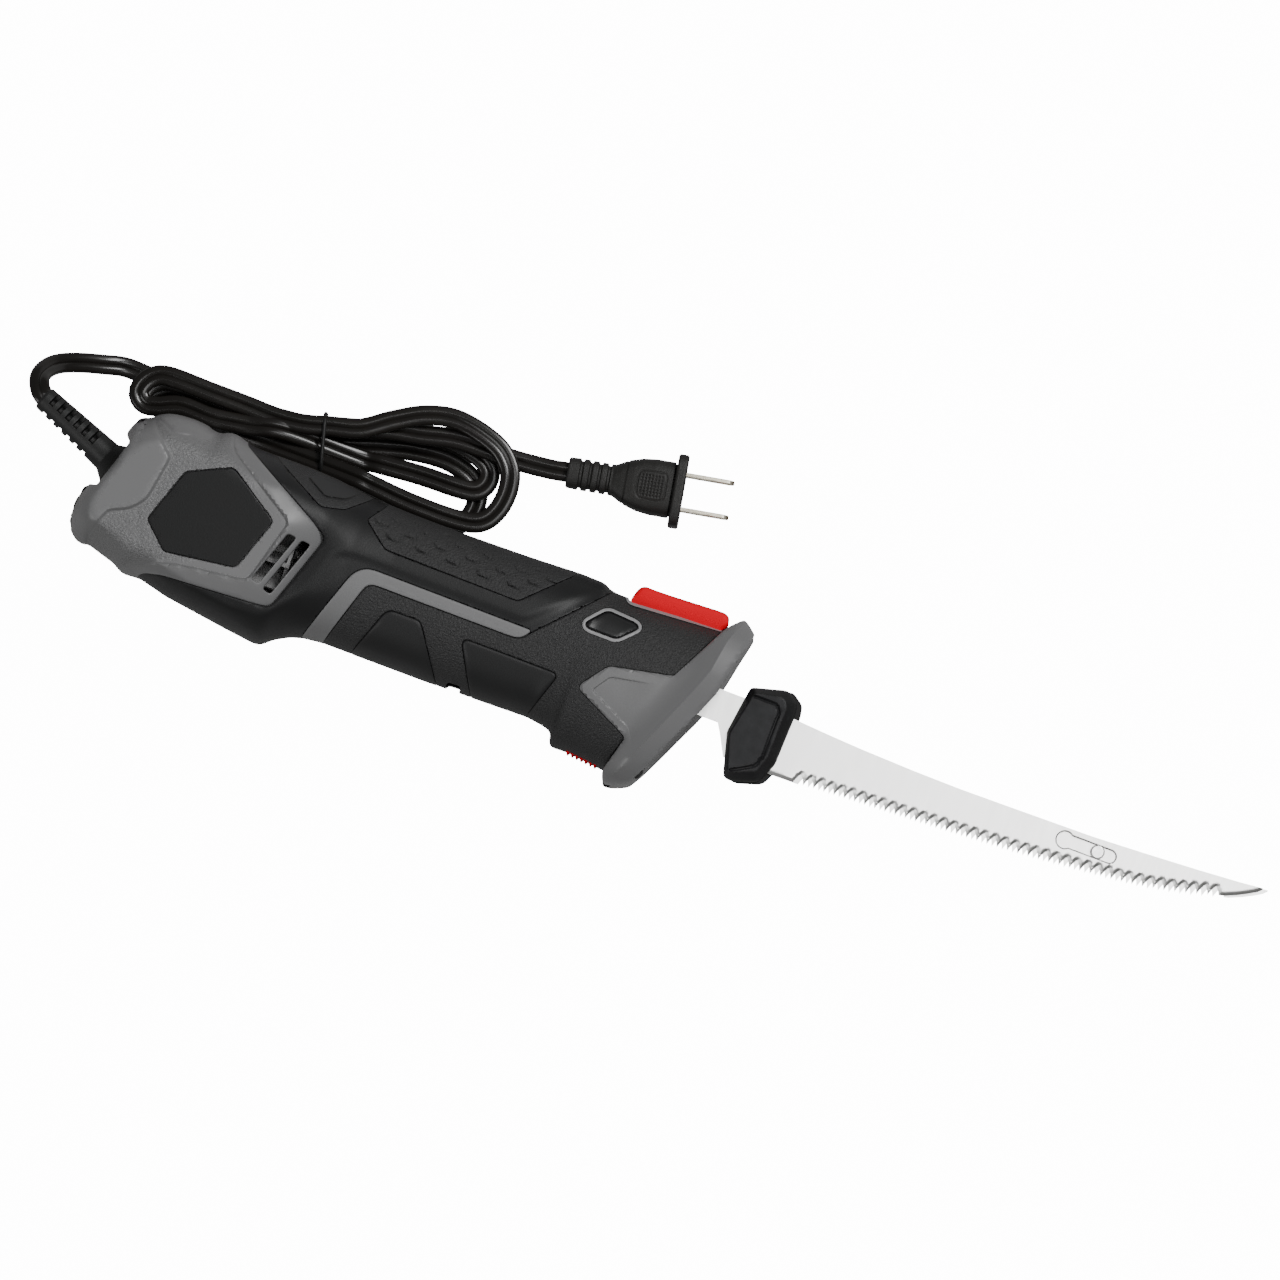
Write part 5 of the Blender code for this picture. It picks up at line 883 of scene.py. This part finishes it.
# Soft grip and finger panels.
# A finely pebbled black rubber layer covers the front and the belly of the
# grip; two smoother panels stand out of it under the fingers.
PANEL_LINES = [
    [(-132.6, -40), (-128.2, -31.2), (-121.2, -12), (-120.2, -10.4), (-118.6, -9.5), (-109.2, -9.3), (-107.6, -9.9),
     (-106.6, -11.2), (-94.4, -29.6), (-90.2, -40)],
    [(-76, -40), (-81, -29.6), (-90.6, -12.4), (-91, -11), (-90.3, -10), (-89.2, -9.7), (-57, -9.7), (-55.8, -10.2),
     (-55.4, -11.4), (-61, -28.8), (-63, -40)]]
panel_lines = [rounded_corners(line, 2, 0.7) for line in PANEL_LINES]
panel_seats = [offset(line, 0.2) for line in panel_lines]


def soft_top(points):
    """The soft layer a quarter of a millimetre under the black body, sunk at its rims and round the seats of the
    panels and the guard."""
    form = rimmed(soft_line, -0.25, 0.5, 0.45)(points)
    for line in (*panel_seats, seats[4]):
        inside = depth_in(points, line)
        form -= rim_round(-inside, 0.4, 0.35) * (inside < 0.0)
    return form


soft_rubber = moulded("pebbled_rubber", (0.0175, 0.0175, 0.018), 0.58, 0.4, (0.0007, 1.6), None, 0.25, 0.8)
panel_look = moulded("panel_rubber", (0.0115, 0.0115, 0.012), 0.5, 0.3, (0.0004, 0.12), None, 0.2, 0.9)
bezel_hole = offset(lock_hole, 1.35)
trim_hole = offset(switch_hole, 1.15)
soft_keep = [(-150.0, 45.0), (-150.0, -45.0)] + NOSE_LINE
# The rim mark paints a highlight along the soft layer's rim.
soft = sheet_mesh("soft_grip_skin", (SIDE, soft_line, soft_keep), soft_top, wall(1.2), soft_rubber,
                  cuts=(*panel_seats, seats[4], bezel_hole, trim_hole, notch_line), spacing=1.2,
                  marks={"rim": near_mark(soft_line, 0.3)})
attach(soft, "handle")
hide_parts("soft_grip")


def panel_top(line):
    """A finger panel 0.45 mm over the body, with its rim rounded over."""
    return lambda points: (body_form(points) + 0.45 * ease(skin(points), 0.0, 5.0)
                           - rim_round(depth_in(points, line), 0.8, 0.7))


# The rim mark paints a highlight along each panel's rim.
for line, word in zip(panel_lines, ("rear", "front")):
    panel = sheet_mesh(word + "_panel_skin", (SIDE, line), panel_top(line), wall(1.8), panel_look,
                       cuts=(notch_line,), marks={"rim": near_mark(line, 0.4)})
    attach(panel, "handle")
    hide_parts(word + "_finger_panel")

# Guard.
# The grey guard plugs over the front of the handle: two wings lie along its
# sides, and it flares to a ridge before it falls away to the front face, which
# has a plate and a rubber nub low down and a slot for the two blade tangs.
GUARD_RIDGE = [(0.9, 36), (0.4, 31.9), (-2.7, 22.2), (-4.5, 10.6), (-7.6, 2.2), (-11.7, -7.8), (-25.4, -40),
    (-27, -44)]
GUARD_FACE = [(7.2, 33), (5.9, 27.9), (3.8, 19.9), (0.4, 3.9), (-3.6, -5.9), (-7.6, -14.7), (-14.5, -30.6),
    (-17.7, -37), (-22, -44)]
WING_DISH = [(-41.7, -10.9), (-40.6, -8.9), (-37.5, -4.3), (-36, -3.7), (-25, -1.6), (-14, 1), (-9, 2), (-9, -24),
    (-22, -24), (-24.8, -18.8)]
GUARD_MIDDLE = -4.6
GUARD_REACH = 36.9
GUARD_TALL = 29.9
GUARD_POWER = 2.9
GUARD_TURN = 0.93
GUARD_FALL = (0.72, 0.42)
wing_dish = rounded_corners(WING_DISH, 2, 0.8)


def guard_form(points):
    """The greater of the wing, 0.25 mm over the body, and the flare, a ridge tall * (1 - r^p)^(1/p) high, where r
    runs from 0 at its middle to 1 at its reach. Its sides fall by the first share of GUARD_FALL behind it and by
    the second ahead of it. A shallow dish is sunk in the wing."""
    x, y = points[:, 0], points[:, 1]
    reach = np.clip(np.abs(y - GUARD_MIDDLE) / GUARD_REACH, 0.0, 1.0)
    crown = GUARD_TALL * (1.0 - reach ** GUARD_POWER) ** (1 / GUARD_POWER)
    ridge = np.interp(y, *np.array(GUARD_RIDGE[::-1]).T[::-1])
    off = GUARD_TURN * (x - ridge)
    flare = crown - np.where(off < 0, *GUARD_FALL) * np.abs(off)
    wing = np.where(x > -3.0, 0.0, body_form(points) + 0.25)
    dish = 0.5 * ease(depth_in(points, wing_dish), -0.2, 0.35) * ease(-20.0 - x, 0.0, 12.0)
    return -soft_min(-flare, -wing, 2.2) - dish


def guard_top(points):
    """The guard with its rim rounded over."""
    return guard_form(points) - rim_round(depth_in(points, guard_line), 0.8, 0.7)


def guard_under(points, top):
    """A 1.5 mm wing over the body, and a front wall 3 mm thick that closes the nose but for the tangs' slot."""
    front = from_line(points, GUARD_FACE)
    slot = (np.abs(points[:, 1]) < 6.6) & (front < 6.0)
    return np.where(front < 3.2, np.where(slot, 1.9, PARTING), top - np.where(points[:, 0] > -3.6, 3.0, 1.5))


# The rim mark paints a highlight along the guard's rim.
guard = sheet_mesh("flared_guard", (guard_line,), guard_top, guard_under, grey, rims=(wing_dish,),
                   lines=(evenly(GUARD_RIDGE, 1.2)[:60],),
                   marks={"rim": near_mark(guard_line, 0.5), "grain": lambda p: np.zeros(len(p))})
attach(guard, "handle")
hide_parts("guard")

# Side lock.
# A black cross button runs through the handle from side to side in a light grey
# ring on each face; pushing it through locks the thumb switch.
ring_line = offset(evenly(lock_hole, 0.8), 1.15)
button_line = offset(evenly(lock_hole, 0.8), -0.22)
light_grey = moulded("light_grey_trim", (0.24, 0.24, 0.243), 0.45, 0.35, (0.0004, 0.1), None, 0.1, 0.2)
button_black = moulded("button_black", (0.0095, 0.0095, 0.01), 0.42, 0.35, (0.0004, 0.1), None, 0.2, 1.2)


def ring_top(points):
    """The ring 0.15 mm over the body, rounded at its outer rim and at its hole."""
    return rimmed(ring_line, 0.15, 0.4, 0.35)(points) - rim_round(-depth_in(points, lock_hole), 0.3, 0.3)


for side, word in SIDES:
    ring = sheet_mesh("lock_ring_" + word, (ring_line,), ring_top, wall(1.4), light_grey, cuts=(lock_hole,),
                      spacing=0.8, halves=(side,))
    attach(ring, "handle")
    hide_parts("lock_bezel_" + word)
# The rim mark paints a highlight in a ring on the button's rounded rim.
button = sheet_mesh("cross_button", (button_line,), rimmed(button_line, -0.35, 1.0, 0.8), level_under(PARTING),
                    button_black, spacing=0.9,
                    marks={"rim": lambda p: np.exp(-np.abs(depth_in(p, button_line) - 0.8) / 0.25)})
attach(button, "lock_button")
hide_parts("lock_button")

# Thumb switch.
# A red rocker along the back of the grip with a rounded upper edge, in a thin
# light grey trim; a second, ribbed red button under the chin frees the blades.
SWITCH_LINE = [(-39.9, 21.6), (-40, 25), (-38.9, 28.8), (-37.6, 30.2), (-36.2, 30.6), (-34, 30.5), (-26.7, 30.7),
    (-8, 31.7), (-6.3, 31.6), (-4.8, 30.8), (-4.2, 29.4), (-4, 27.9), (-4.6, 26.4), (-9.4, 21.6)]
switch_line = rounded_corners(SWITCH_LINE, 2, 0.7)
red = moulded("switch_red", (0.68, 0.0, 0.012), 0.5, 0.05, (0.0005, 0.06), None, 0.08, 0.1)


def rocker_top(points):
    """The rocker's half width, arched a little, with its upper edge rounded over."""
    edge = rim_round(depth_in(points, switch_line), 1.7, 1.5) * ease(points[:, 1], 24.5, 26.5)
    return 6.9 - edge - 0.02 * (points[:, 1] - 27.0) ** 2


rocker = sheet_mesh("thumb_rocker", (switch_line,), rocker_top, level_under(0.13), red, spacing=0.9, lean=False)
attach(rocker, "thumb_switch")
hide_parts("thumb_switch")
trim = sheet_mesh("switch_trim_skin", (SIDE, offset(evenly(switch_hole, 0.8), 1.0)), lambda p: body_form(p) + 0.5,
                  wall(1.3), light_grey, cuts=(switch_hole, seats[4]), spacing=0.8)
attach(trim, "handle")
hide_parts("switch_trim")


WELD_REACH = 0.000004
EDGE_ANGLE = 40.0


def finish_node(name, material, bevel):
    """Gives a carried-over part its material, and welds and eases its edges (in millimetres) with modifiers."""
    node = frame["nodes"][name]
    node.data.materials.clear()
    node.data.materials.append(material)
    node.modifiers.new("weld", "WELD").merge_threshold = WELD_REACH
    eased = node.modifiers.new("eased_edges", "BEVEL")
    eased.width = bevel * 0.001
    eased.segments = 2
    eased.limit_method = "ANGLE"
    eased.angle_limit = math.radians(EDGE_ANGLE)
    eased.harden_normals = False


finish_node("release_button", red, 0.25)
finish_node("front_plate", grey, 0.15)
finish_node("guard_bumper", rubber, 0.2)

# Blades.
# Two thin stainless blades lie face to face. Each is flat inside and has arched
# gullets ground along its edge. The near one has a keyhole slot, and the rivet
# of the far one holds it there. The word etched on the real blade is left off.
BLADE_BACK = [(-30, 4.8), (-29, 5.8), (12, 5.8), (30, 4.9), (42, 4.1), (55, 3.4), (77, 2.7), (95, 2.5), (116, 2.8),
    (145, 3.3), (165, 4.3), (185, 5.5), (200, 6.6), (207, 7.3), (208.9, 7.5)]
BLADE_EDGE = [(28, -16.7), (37.5, -16.5), (60, -15.4), (80, -14.5), (100, -13.4), (120, -12.2), (140, -10.5),
    (149.3, -9.6), (160.6, -8.4), (168.3, -7.3), (176, -5.8), (183.5, -4), (191.2, -1.7), (195, -0.4)]
BLADE_TIP = [(196.6, 0), (201, 1.9), (205, 4), (207.6, 5.6), (209, 7)]
BLADE_HEEL = [(10.8, -16.8), (6.7, -9.2), (4.6, -5.8), (-29, -5.8), (-30, -4.8)]
BLADE_TEETH = 41
BLADE_PITCH = 3.84
BLADE_FIRST = 37.5
BLADE_FACE = 1.1
BLADE_BEVEL = 1.2
FAR_AHEAD = 2.0
TOOTH_DEPTH = 3.7
TOOTH_SHARE = 0.46
EYE = (136.3, -1.3)
EYE_ROUND = 3.0
SLOT_END = 153.4
SLOT_HALF = 2.2


def serrated_line():
    """The blade's outline. Along the teeth: edge + depth * (1 - |2t - 1|^1.5), t from 0 to 1 over each tooth."""
    edge, back = np.array(BLADE_EDGE), np.array(BLADE_BACK)
    phase = np.array([0.0, 0.07, 0.15, 0.24, 0.33, 0.42, 0.5, 0.58, 0.67, 0.76, 0.85, 0.93])
    x = (BLADE_FIRST + (np.arange(BLADE_TEETH)[:, None] + phase) * BLADE_PITCH).ravel()
    foot = np.interp(x, *edge.T)
    depth = np.minimum(TOOTH_DEPTH, TOOTH_SHARE * (np.interp(x, *back.T) - foot))
    depth *= 1.0 - np.abs(2.0 * np.tile(phase, BLADE_TEETH) - 1.0) ** 1.5
    last = BLADE_FIRST + BLADE_TEETH * BLADE_PITCH
    plain = [(last, np.interp(last, *edge.T))]
    return np.vstack([BLADE_HEEL[::-1], edge[:1], np.stack([x, foot + depth], 1), plain, BLADE_TIP, back[::-1]])


def blade_depth(points, line):
    """Distance of each point from the cutting edge, worked out in slices to save memory."""
    return np.concatenate([from_line(part, line) for part in np.array_split(points, max(1, len(points) // 1500))])


def arc(middle, radius, start, end, count):
    """Points of an arc round a middle, from one angle to another in degrees."""
    turn = np.radians(np.linspace(start, end, count))
    return np.stack([middle[0] + radius * np.cos(turn), middle[1] + radius * np.sin(turn)], 1)


keyhole = np.vstack([arc(EYE, EYE_ROUND, 47.0, 313.0, 22), arc((SLOT_END, EYE[1]), SLOT_HALF, -90.0, 90.0, 11)])
steel, tree, shader = node_material("blade_steel")
where = tree.nodes.new("ShaderNodeTexCoord").outputs["Object"]
drawn = chain(tree, "ShaderNodeMapping", {"Vector": where, "Scale": (900.0, 60.0, 60.0)}).outputs["Vector"]
scratch = chain(tree, "ShaderNodeTexNoise", {"Vector": drawn, "Scale": 1.0, "Detail": 3.0}).outputs["Fac"]
# Painted shade: the steel is mixed to a darker tone on the edge bevels and round the keyhole.
bevel_shade = chain(tree, "ShaderNodeAttribute", {}, attribute_name="bevel_shade").outputs["Fac"]
steel_tone = two_tones(tree, speckle(tree, 30.0), (0.86, 0.855, 0.845), (0.93, 0.925, 0.915))
grooves = chain(tree, "ShaderNodeBump", {"Strength": 0.06, "Distance": 0.0001, "Height": scratch})
feed(shader, {"Base Color": mixed(tree, bevel_shade, steel_tone, (0.7, 0.7, 0.69, 1)), "Metallic": 1.0,
              "Roughness": span(tree, scratch, 0.27, 0.34), "Normal": grooves.outputs["Normal"]})
blade_line = serrated_line()
for side, word, shift, hole in ((1, "near", 0.0, (keyhole,)), (-1, "far", FAR_AHEAD, ())):
    own_line = blade_line + (shift, 0.0)

    def blade_top(points):
        """The flat face, bevelled along the edge and over half a millimetre round the keyhole."""
        inside = blade_depth(points, own_line[len(BLADE_HEEL):len(own_line) - len(BLADE_BACK)])
        bevel = 0.5 * np.clip(1.0 - inside / BLADE_BEVEL, 0.0, 1.0)
        for cut in hole:
            bevel = np.maximum(bevel, 0.4 * np.clip(1.0 + depth_in(points, cut) / 0.5, 0.0, 1.0))
        return BLADE_FACE - bevel

    def bevel_shade_mark(points):
        """1 on the edge bevels and round the keyhole, where the steel gets painted shade."""
        return (BLADE_FACE - blade_top(points)) / 0.12

    blade = sheet_mesh(word + "_serrated_blade", (own_line,), blade_top, level_under(0.12), steel, cuts=hole,
                       spacing=0.62, halves=(side,), lean=False, smooth=14.0, marks={"bevel_shade": bevel_shade_mark})
    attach(blade, word + "_blade")
    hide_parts(word + "_blade")
rivet_look, tree, shader = node_material("rivet_steel")
feed(shader, {"Base Color": (0.86, 0.855, 0.85, 1), "Metallic": 1.0,
              "Roughness": span(tree, speckle(tree, 900.0, 1.0), 0.24, 0.36)})
finish_node("blade_rivet", rivet_look, 0.12)

# Blade clips.
# A black clip half is moulded on each blade for the fingers to pull it out. Its
# raised face has a groove round a plain panel; the words on it are left off.
CLIP_OUTER = [(11.2, 9.6), (12.1, 10.5), (23.2, 13.6), (24.9, 13.6), (29.1, 10.6), (29.9, 6.8), (29.3, -12.9),
    (26.2, -20), (24.6, -21.4), (16.4, -24), (13.7, -23.6), (12.8, -22), (8.9, -7.6)]
CLIP_FACE = [(13, 7.9), (13.6, 8.9), (22.5, 10.9), (24.7, 10), (25.9, 7.6), (25.6, -11.3), (23.6, -17.5),
    (14.8, -21.2), (13.9, -20.7), (9.9, -8)]
CLIP_GROOVE = [(13.6, 7.7), (22.2, 7.7), (24, 5.8), (24.1, -11.2), (22.6, -15.6), (14.6, -20.3)]
CLIP_FOOT = 2.2
CLIP_RISE = 5.7
clip_outer, clip_face = rounded_corners(CLIP_OUTER, 2, 0.7), rounded_corners(CLIP_FACE, 2, 0.5)
clip_groove = rounded_corners(CLIP_GROOVE, 2, 0.6, closed=False)
clip_black = moulded("clip_black", (0.0065, 0.0065, 0.007), 0.46, 0.18, (0.0004, 0.1), None, 0.15, 2.8)
for side, word, shift in ((1, "near", 0.0), (-1, "far", FAR_AHEAD)):
    outer, face, groove = (line + (shift, 0.0) for line in (clip_outer, clip_face, clip_groove))

    def clip_top(points):
        """Flat inside the face line, with a groove there, and falling by CLIP_RISE to the foot at the outer line."""
        out, into = depth_in(points, outer), depth_in(points, face)
        share = out / np.maximum(out - np.minimum(into, 0.0), 1e-6)
        slope = CLIP_FOOT + CLIP_RISE * np.where(into > 0, 1.0, np.clip(share, 0.0, 1.0)) ** 0.9
        cut = 0.9 * (1.0 - ease(from_line(points, groove), 0.28, 0.62)) * ease(into, 0.1, 0.5)
        return slope - rim_round(into, 0.35, 0.25) * (into > 0) - rim_round(out, 0.7, 0.6) - cut

    # The rim mark covers the raised face, which gets a painted highlight over all of it.
    clip = sheet_mesh(word + "_clip_half", (outer,), clip_top, level_under(0.15), clip_black, rims=(face,),
                      lines=(groove,), spacing=0.6, halves=(side,),
                      marks={"rim": lambda p: ease(depth_in(p, face), -0.2, 0.1)})
    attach(clip, word + "_blade")
    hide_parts(word + "_clip")

# Strain relief.
# A black rubber sleeve tapers from a collar at the housing to the lead. Rows of
# small windows let it bend.
SLEEVE_BASE = np.array((-231.4, 4.7, 0.0))
SLEEVE_WAY = math.radians(157.7)
SLEEVE_LONG = 35.6
WINDOW_ROWS = 11.5 + 3.95 * np.arange(6)
WINDOW_TURNS = np.radians((28.0, -92.0, 148.0))
WINDOW_DEPTH = 2.6
along = np.concatenate([[-3.0], np.linspace(0.0, SLEEVE_LONG - 0.6, 190),
                        SLEEVE_LONG - np.array([0.42, 0.25, 0.1, 0.0])])
round_it = np.linspace(0.0, 2 * math.pi, 108, endpoint=False)
taper = 4.5 + 1.45 * (1.0 - np.clip(along, 0.0, 36.0) / 36.0) + 2.3 * np.clip(1.0 - along / 4.0, 0.0, 1.0)
taper -= 0.9 * np.clip((along - SLEEVE_LONG + 1.2) / 1.2, 0.0, 1.0) ** 2.5
window = np.zeros((len(along), len(round_it)))
for centre in WINDOW_ROWS:
    lengthwise = 1.0 - ease(np.abs(along - centre), 0.75, 1.0)
    for middle in WINDOW_TURNS:
        turn_off = np.abs((round_it - middle + math.pi) % (2 * math.pi) - math.pi)
        window = np.maximum(window, lengthwise[:, None] * (1.0 - ease(turn_off, 0.5, 0.62)))
radius = taper[:, None] - WINDOW_DEPTH * window
way = np.array((math.cos(SLEEVE_WAY), math.sin(SLEEVE_WAY), 0.0))
outwards = np.sin(round_it)[:, None] * np.array((way[1], -way[0], 0.0)) + np.cos(round_it)[:, None] * UP
verts, faces = closed_surface(SLEEVE_BASE + along[:, None, None] * way + radius[..., None] * outwards)
sleeve_rubber = moulded("sleeve_rubber", (0.011, 0.011, 0.0108), 0.5, 0.3, (0.0005, 0.2), None, 0.2, -1.8)
sleeve = add_mesh("windowed_sleeve", world(verts), faces, sleeve_rubber, 40.0)
# Painted shade: the rim mark is 1 in the windows, and the sleeve rubber's lift below zero darkens them.
shade = np.concatenate([np.clip(window.ravel() * 1.4, 0.0, 1.0), [0.0, 0.0]])
sleeve.data.attributes.new("rim", "FLOAT", "POINT").data.foreach_set("value", shade.astype(np.float32))
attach(sleeve, "handle")
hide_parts("strain_relief")

# Cord tie.
# A round black wire is closed round the hank, a little askew.
TIE_CENTRE = np.array((-165.3, 39.7, -22.2))
TIE_TILT = math.radians(15.9)
TIE_HALF = (10.9, 6.8)
TIE_SQUARE = 0.62
TIE_WIRE = 0.78
turn_tie = np.linspace(0.0, 2 * math.pi, 96, endpoint=False)[:, None]
reach = TIE_HALF[0] * squared(np.cos(turn_tie), TIE_SQUARE)
lift_tie = TIE_HALF[1] * squared(np.sin(turn_tie), TIE_SQUARE)
tie_line = TIE_CENTRE + reach * np.array((-math.sin(TIE_TILT), math.cos(TIE_TILT), 0.0)) + lift_tie * UP
flow = np.roll(tie_line, -1, axis=0) - np.roll(tie_line, 1, axis=0)
flow /= np.linalg.norm(flow, axis=1, keepdims=True)
aside = np.array((math.cos(TIE_TILT), math.sin(TIE_TILT), 0.0))
small = np.linspace(0.0, 2 * math.pi, 12, endpoint=False)[:, None]
tube = tie_line[:, None] + TIE_WIRE * (np.cos(small) * np.cross(flow, aside)[:, None] + np.sin(small) * aside)
tie = add_mesh("wire_tie", world(tube.reshape(-1, 3)), ring_faces(96, 12, True), sleeve_rubber, 180.0)
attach(tie, "handle")
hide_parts("cord_tie")

# Plug.
# A black two-pin plug is moulded on the lead: a ribbed sleeve, a body that
# widens to a flange, and a dimpled grip pad on its flat side; the flat prongs
# are plated brass with a hole near the end.
PLUG_AT = np.array((-78.74, 61.25, CORD_LAYERS[2]))
PAD_MIDDLE = 31.0
PAD_HALF = 5.2
DIMPLE_STEP = 1.22


def plug_forms(at):
    """Half width, half height and roundness power of the plug at each distance from its start."""
    wide = np.interp(at, [0.0, 0.5, 4.0, 16.5, 17.5, 19.5, 22.0, 26.5, 31.5, 38.3, 39.0, 39.01, 39.6, 42.2, 42.8],
                     [5.1, 5.6, 5.8, 5.7, 5.9, 7.0, 8.2, 9.6, 10.2, 10.2, 10.1, 12.9, 13.4, 13.4, 12.9])
    tall = np.interp(at, [0.0, 0.5, 4.0, 16.5, 17.5, 19.5, 24.0, 31.5, 38.3, 39.0, 39.01, 39.6, 42.2, 42.8],
                     [4.3, 4.7, 4.8, 4.7, 5.1, 5.6, 6.4, 7.0, 7.1, 7.0, 8.6, 9.1, 9.1, 8.6])
    power = np.interp(at, [0.0, 17.0, 20.0, 38.9, 39.0], [2.8, 2.8, 3.4, 3.6, 5.0])
    for rib in (5.0, 8.35, 11.7, 15.05):
        dip = 0.85 * (1.0 - ease(np.abs(at - rib), 0.35, 0.75))
        wide, tall = wide - dip, tall - dip
    seam = 0.3 * (1.0 - ease(np.abs(at - 21.4), 0.1, 0.32)) + 0.6 * (1.0 - ease(np.abs(at - 38.7), 0.1, 0.45))
    return wide - seam, tall - seam, power


at = np.unique(np.concatenate([np.linspace(0.0, 17.0, 86), np.linspace(17.0, 25.0, 40), np.linspace(25.0, 37.0, 62),
                               np.linspace(37.0, 39.0, 12), [39.01], np.linspace(39.1, 42.8, 14)]))
wide, tall, power = plug_forms(at)
half_turn = np.sin(np.linspace(-math.pi / 2, math.pi / 2, 96)[1:])
sweep_side = np.concatenate([half_turn, -half_turn])
upper = np.repeat([1.0, -1.0], len(half_turn))
w = wide[:, None] * sweep_side
h = upper * tall[:, None] * np.clip(1.0 - np.abs(sweep_side) ** power[:, None], 0.0, 1.0) ** (1.0 / power[:, None])
pad_in = PAD_HALF - (np.abs(np.stack([np.broadcast_to(at[:, None] - PAD_MIDDLE, w.shape), w])) ** 5).sum(0) ** 0.2
rows_in, columns_in = (np.sin(run * math.pi / DIMPLE_STEP) ** 2 for run in (at[:, None] - 26.6, w - 4.4))
dimples = np.clip(rows_in * columns_in * 1.6 - 0.3, 0.0, 1.0)
pad_cut = 0.28 * (1.0 - ease(np.abs(pad_in), 0.1, 0.4)) + 0.42 * dimples * ease(pad_in, 0.7, 1.0)
h = h - np.where(upper > 0, pad_cut, 0.0) * (np.abs(w) < 6.0)
side_way = np.array((-heading[1], heading[0], 0.0))
verts, faces = closed_surface(PLUG_AT + at[:, None, None] * heading - w[..., None] * side_way + h[..., None] * UP)
plug_black = moulded("plug_black", (0.0135, 0.013, 0.0122), 0.5, 0.3, (0.0004, 0.35), None, 0.2, 0.2)
plug = add_mesh("moulded_plug", world(verts), faces, plug_black, 38.0)
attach(plug, "handle")
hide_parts("plug_body")
PRONG_APART = 12.7
PRONG_HOLE = 57.2
PRONG_TIP = 60.4
PRONG_HALF = 3.17
plated, tree, shader = node_material("plated_brass")
where = tree.nodes.new("ShaderNodeTexCoord").outputs["Object"]
reached = chain(tree, "ShaderNodeVectorMath", {0: where, 1: tuple(heading)}, operation="DOT_PRODUCT")
tip_at = float(world(PLUG_AT + PRONG_TIP * heading) @ heading)
worn_tip = span(tree, reached.outputs["Value"], 0.0, 1.0, tip_at - 0.0012, tip_at - 0.0004)
patina = two_tones(tree, speckle(tree, 700.0, 3.0), (0.55, 0.49, 0.34), (0.9, 0.87, 0.76))
feed(shader, {"Base Color": mixed(tree, worn_tip, patina, (0.16, 0.12, 0.06, 1)),
              "Metallic": 1.0, "Roughness": 0.42})
angle = np.linspace(0.0, 2 * math.pi, 40, endpoint=False)
flat_x, flat_z = np.cos(angle), np.sin(angle)
size_x, size_z = np.abs(flat_x), np.abs(flat_z)
to_edge = np.minimum(np.where(flat_x > 0, 3.2, 17.4) / np.maximum(size_x, 1e-6),
                     PRONG_HALF / np.maximum(size_z, 1e-6))
to_edge = np.minimum(to_edge, np.where(flat_x > 0, 4.6 / (size_x + size_z), 99.0))
hole = np.full(len(angle), 1.5)
prong_rings = ((to_edge - 0.25, 0.75), (to_edge, 0.5), (to_edge, -0.5), (to_edge - 0.25, -0.75), (hole, -0.75),
               (hole, 0.75))
for place, word in ((PRONG_APART / 2, "upper"), (-PRONG_APART / 2, "lower")):
    loops = [PLUG_AT + (PRONG_HOLE + out * flat_x)[:, None] * heading + (place + thick) * side_way
             + (out * flat_z)[:, None] * UP for out, thick in prong_rings]
    prong = add_mesh("plated_prong_" + word, world(np.vstack(loops)),
                     ring_faces(len(loops), len(angle), True), plated, 30.0)
    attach(prong, "handle")
    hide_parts("plug_prong_" + word)

# Motor, gears and fasteners.
# Inside the shells a universal motor turns a worm, and the wheel's eccentrics
# push the two blade carriers. They keep the turned, cast and wound shapes of
# their source, and get the finish of each metal, plastic or winding here.
INNER_LOOKS = {
    "nickel_steel": ((0.62, 0.62, 0.61), 1.0, 0.3, 140.0, ("screw_rear", "screw_belly", "screw_back", "screw_grip",
                                                           "motor_shaft", "wheel_axle")),
    "stacked_sheets": ((0.2, 0.2, 0.205), 0.8, 0.5, 420.0, ("stator_core", "armature_core")),
    "lacquered_copper": ((0.34, 0.12, 0.05), 1.0, 0.4, 520.0, ("field_coil_near", "field_coil_far", "commutator")),
    "bearing_bronze": ((0.7, 0.5, 0.24), 1.0, 0.38, 260.0, ("rear_bearing", "front_bearing", "nose_bearing",
                                                            "brush_holder_upper", "brush_holder_lower")),
    "cast_frame": ((0.52, 0.52, 0.54), 0.9, 0.55, 300.0, ("gear_frame",)),
    "white_nylon": ((0.62, 0.6, 0.55), 0.0, 0.45, 90.0, ("worm_wheel", "near_carrier", "far_carrier")),
    "fan_nylon": ((0.3, 0.3, 0.3), 0.0, 0.45, 90.0, ("fan",)),
    "switch_board": ((0.12, 0.05, 0.02), 0.0, 0.5, 200.0, ("switch_block",))}
for word, (colour, metal, rough, rate, nodes) in INNER_LOOKS.items():
    look, tree, shader = node_material(word)
    mottle = speckle(tree, rate, 3.0)
    dark, light = (tuple(share * part for part in colour) for share in (0.8, 1.15))
    feed(shader, {"Base Color": two_tones(tree, mottle, dark, light), "Metallic": metal,
                  "Roughness": span(tree, mottle, rough - 0.08, rough + 0.08)})
    for name in nodes:
        finish_node(name, look, 0.12)
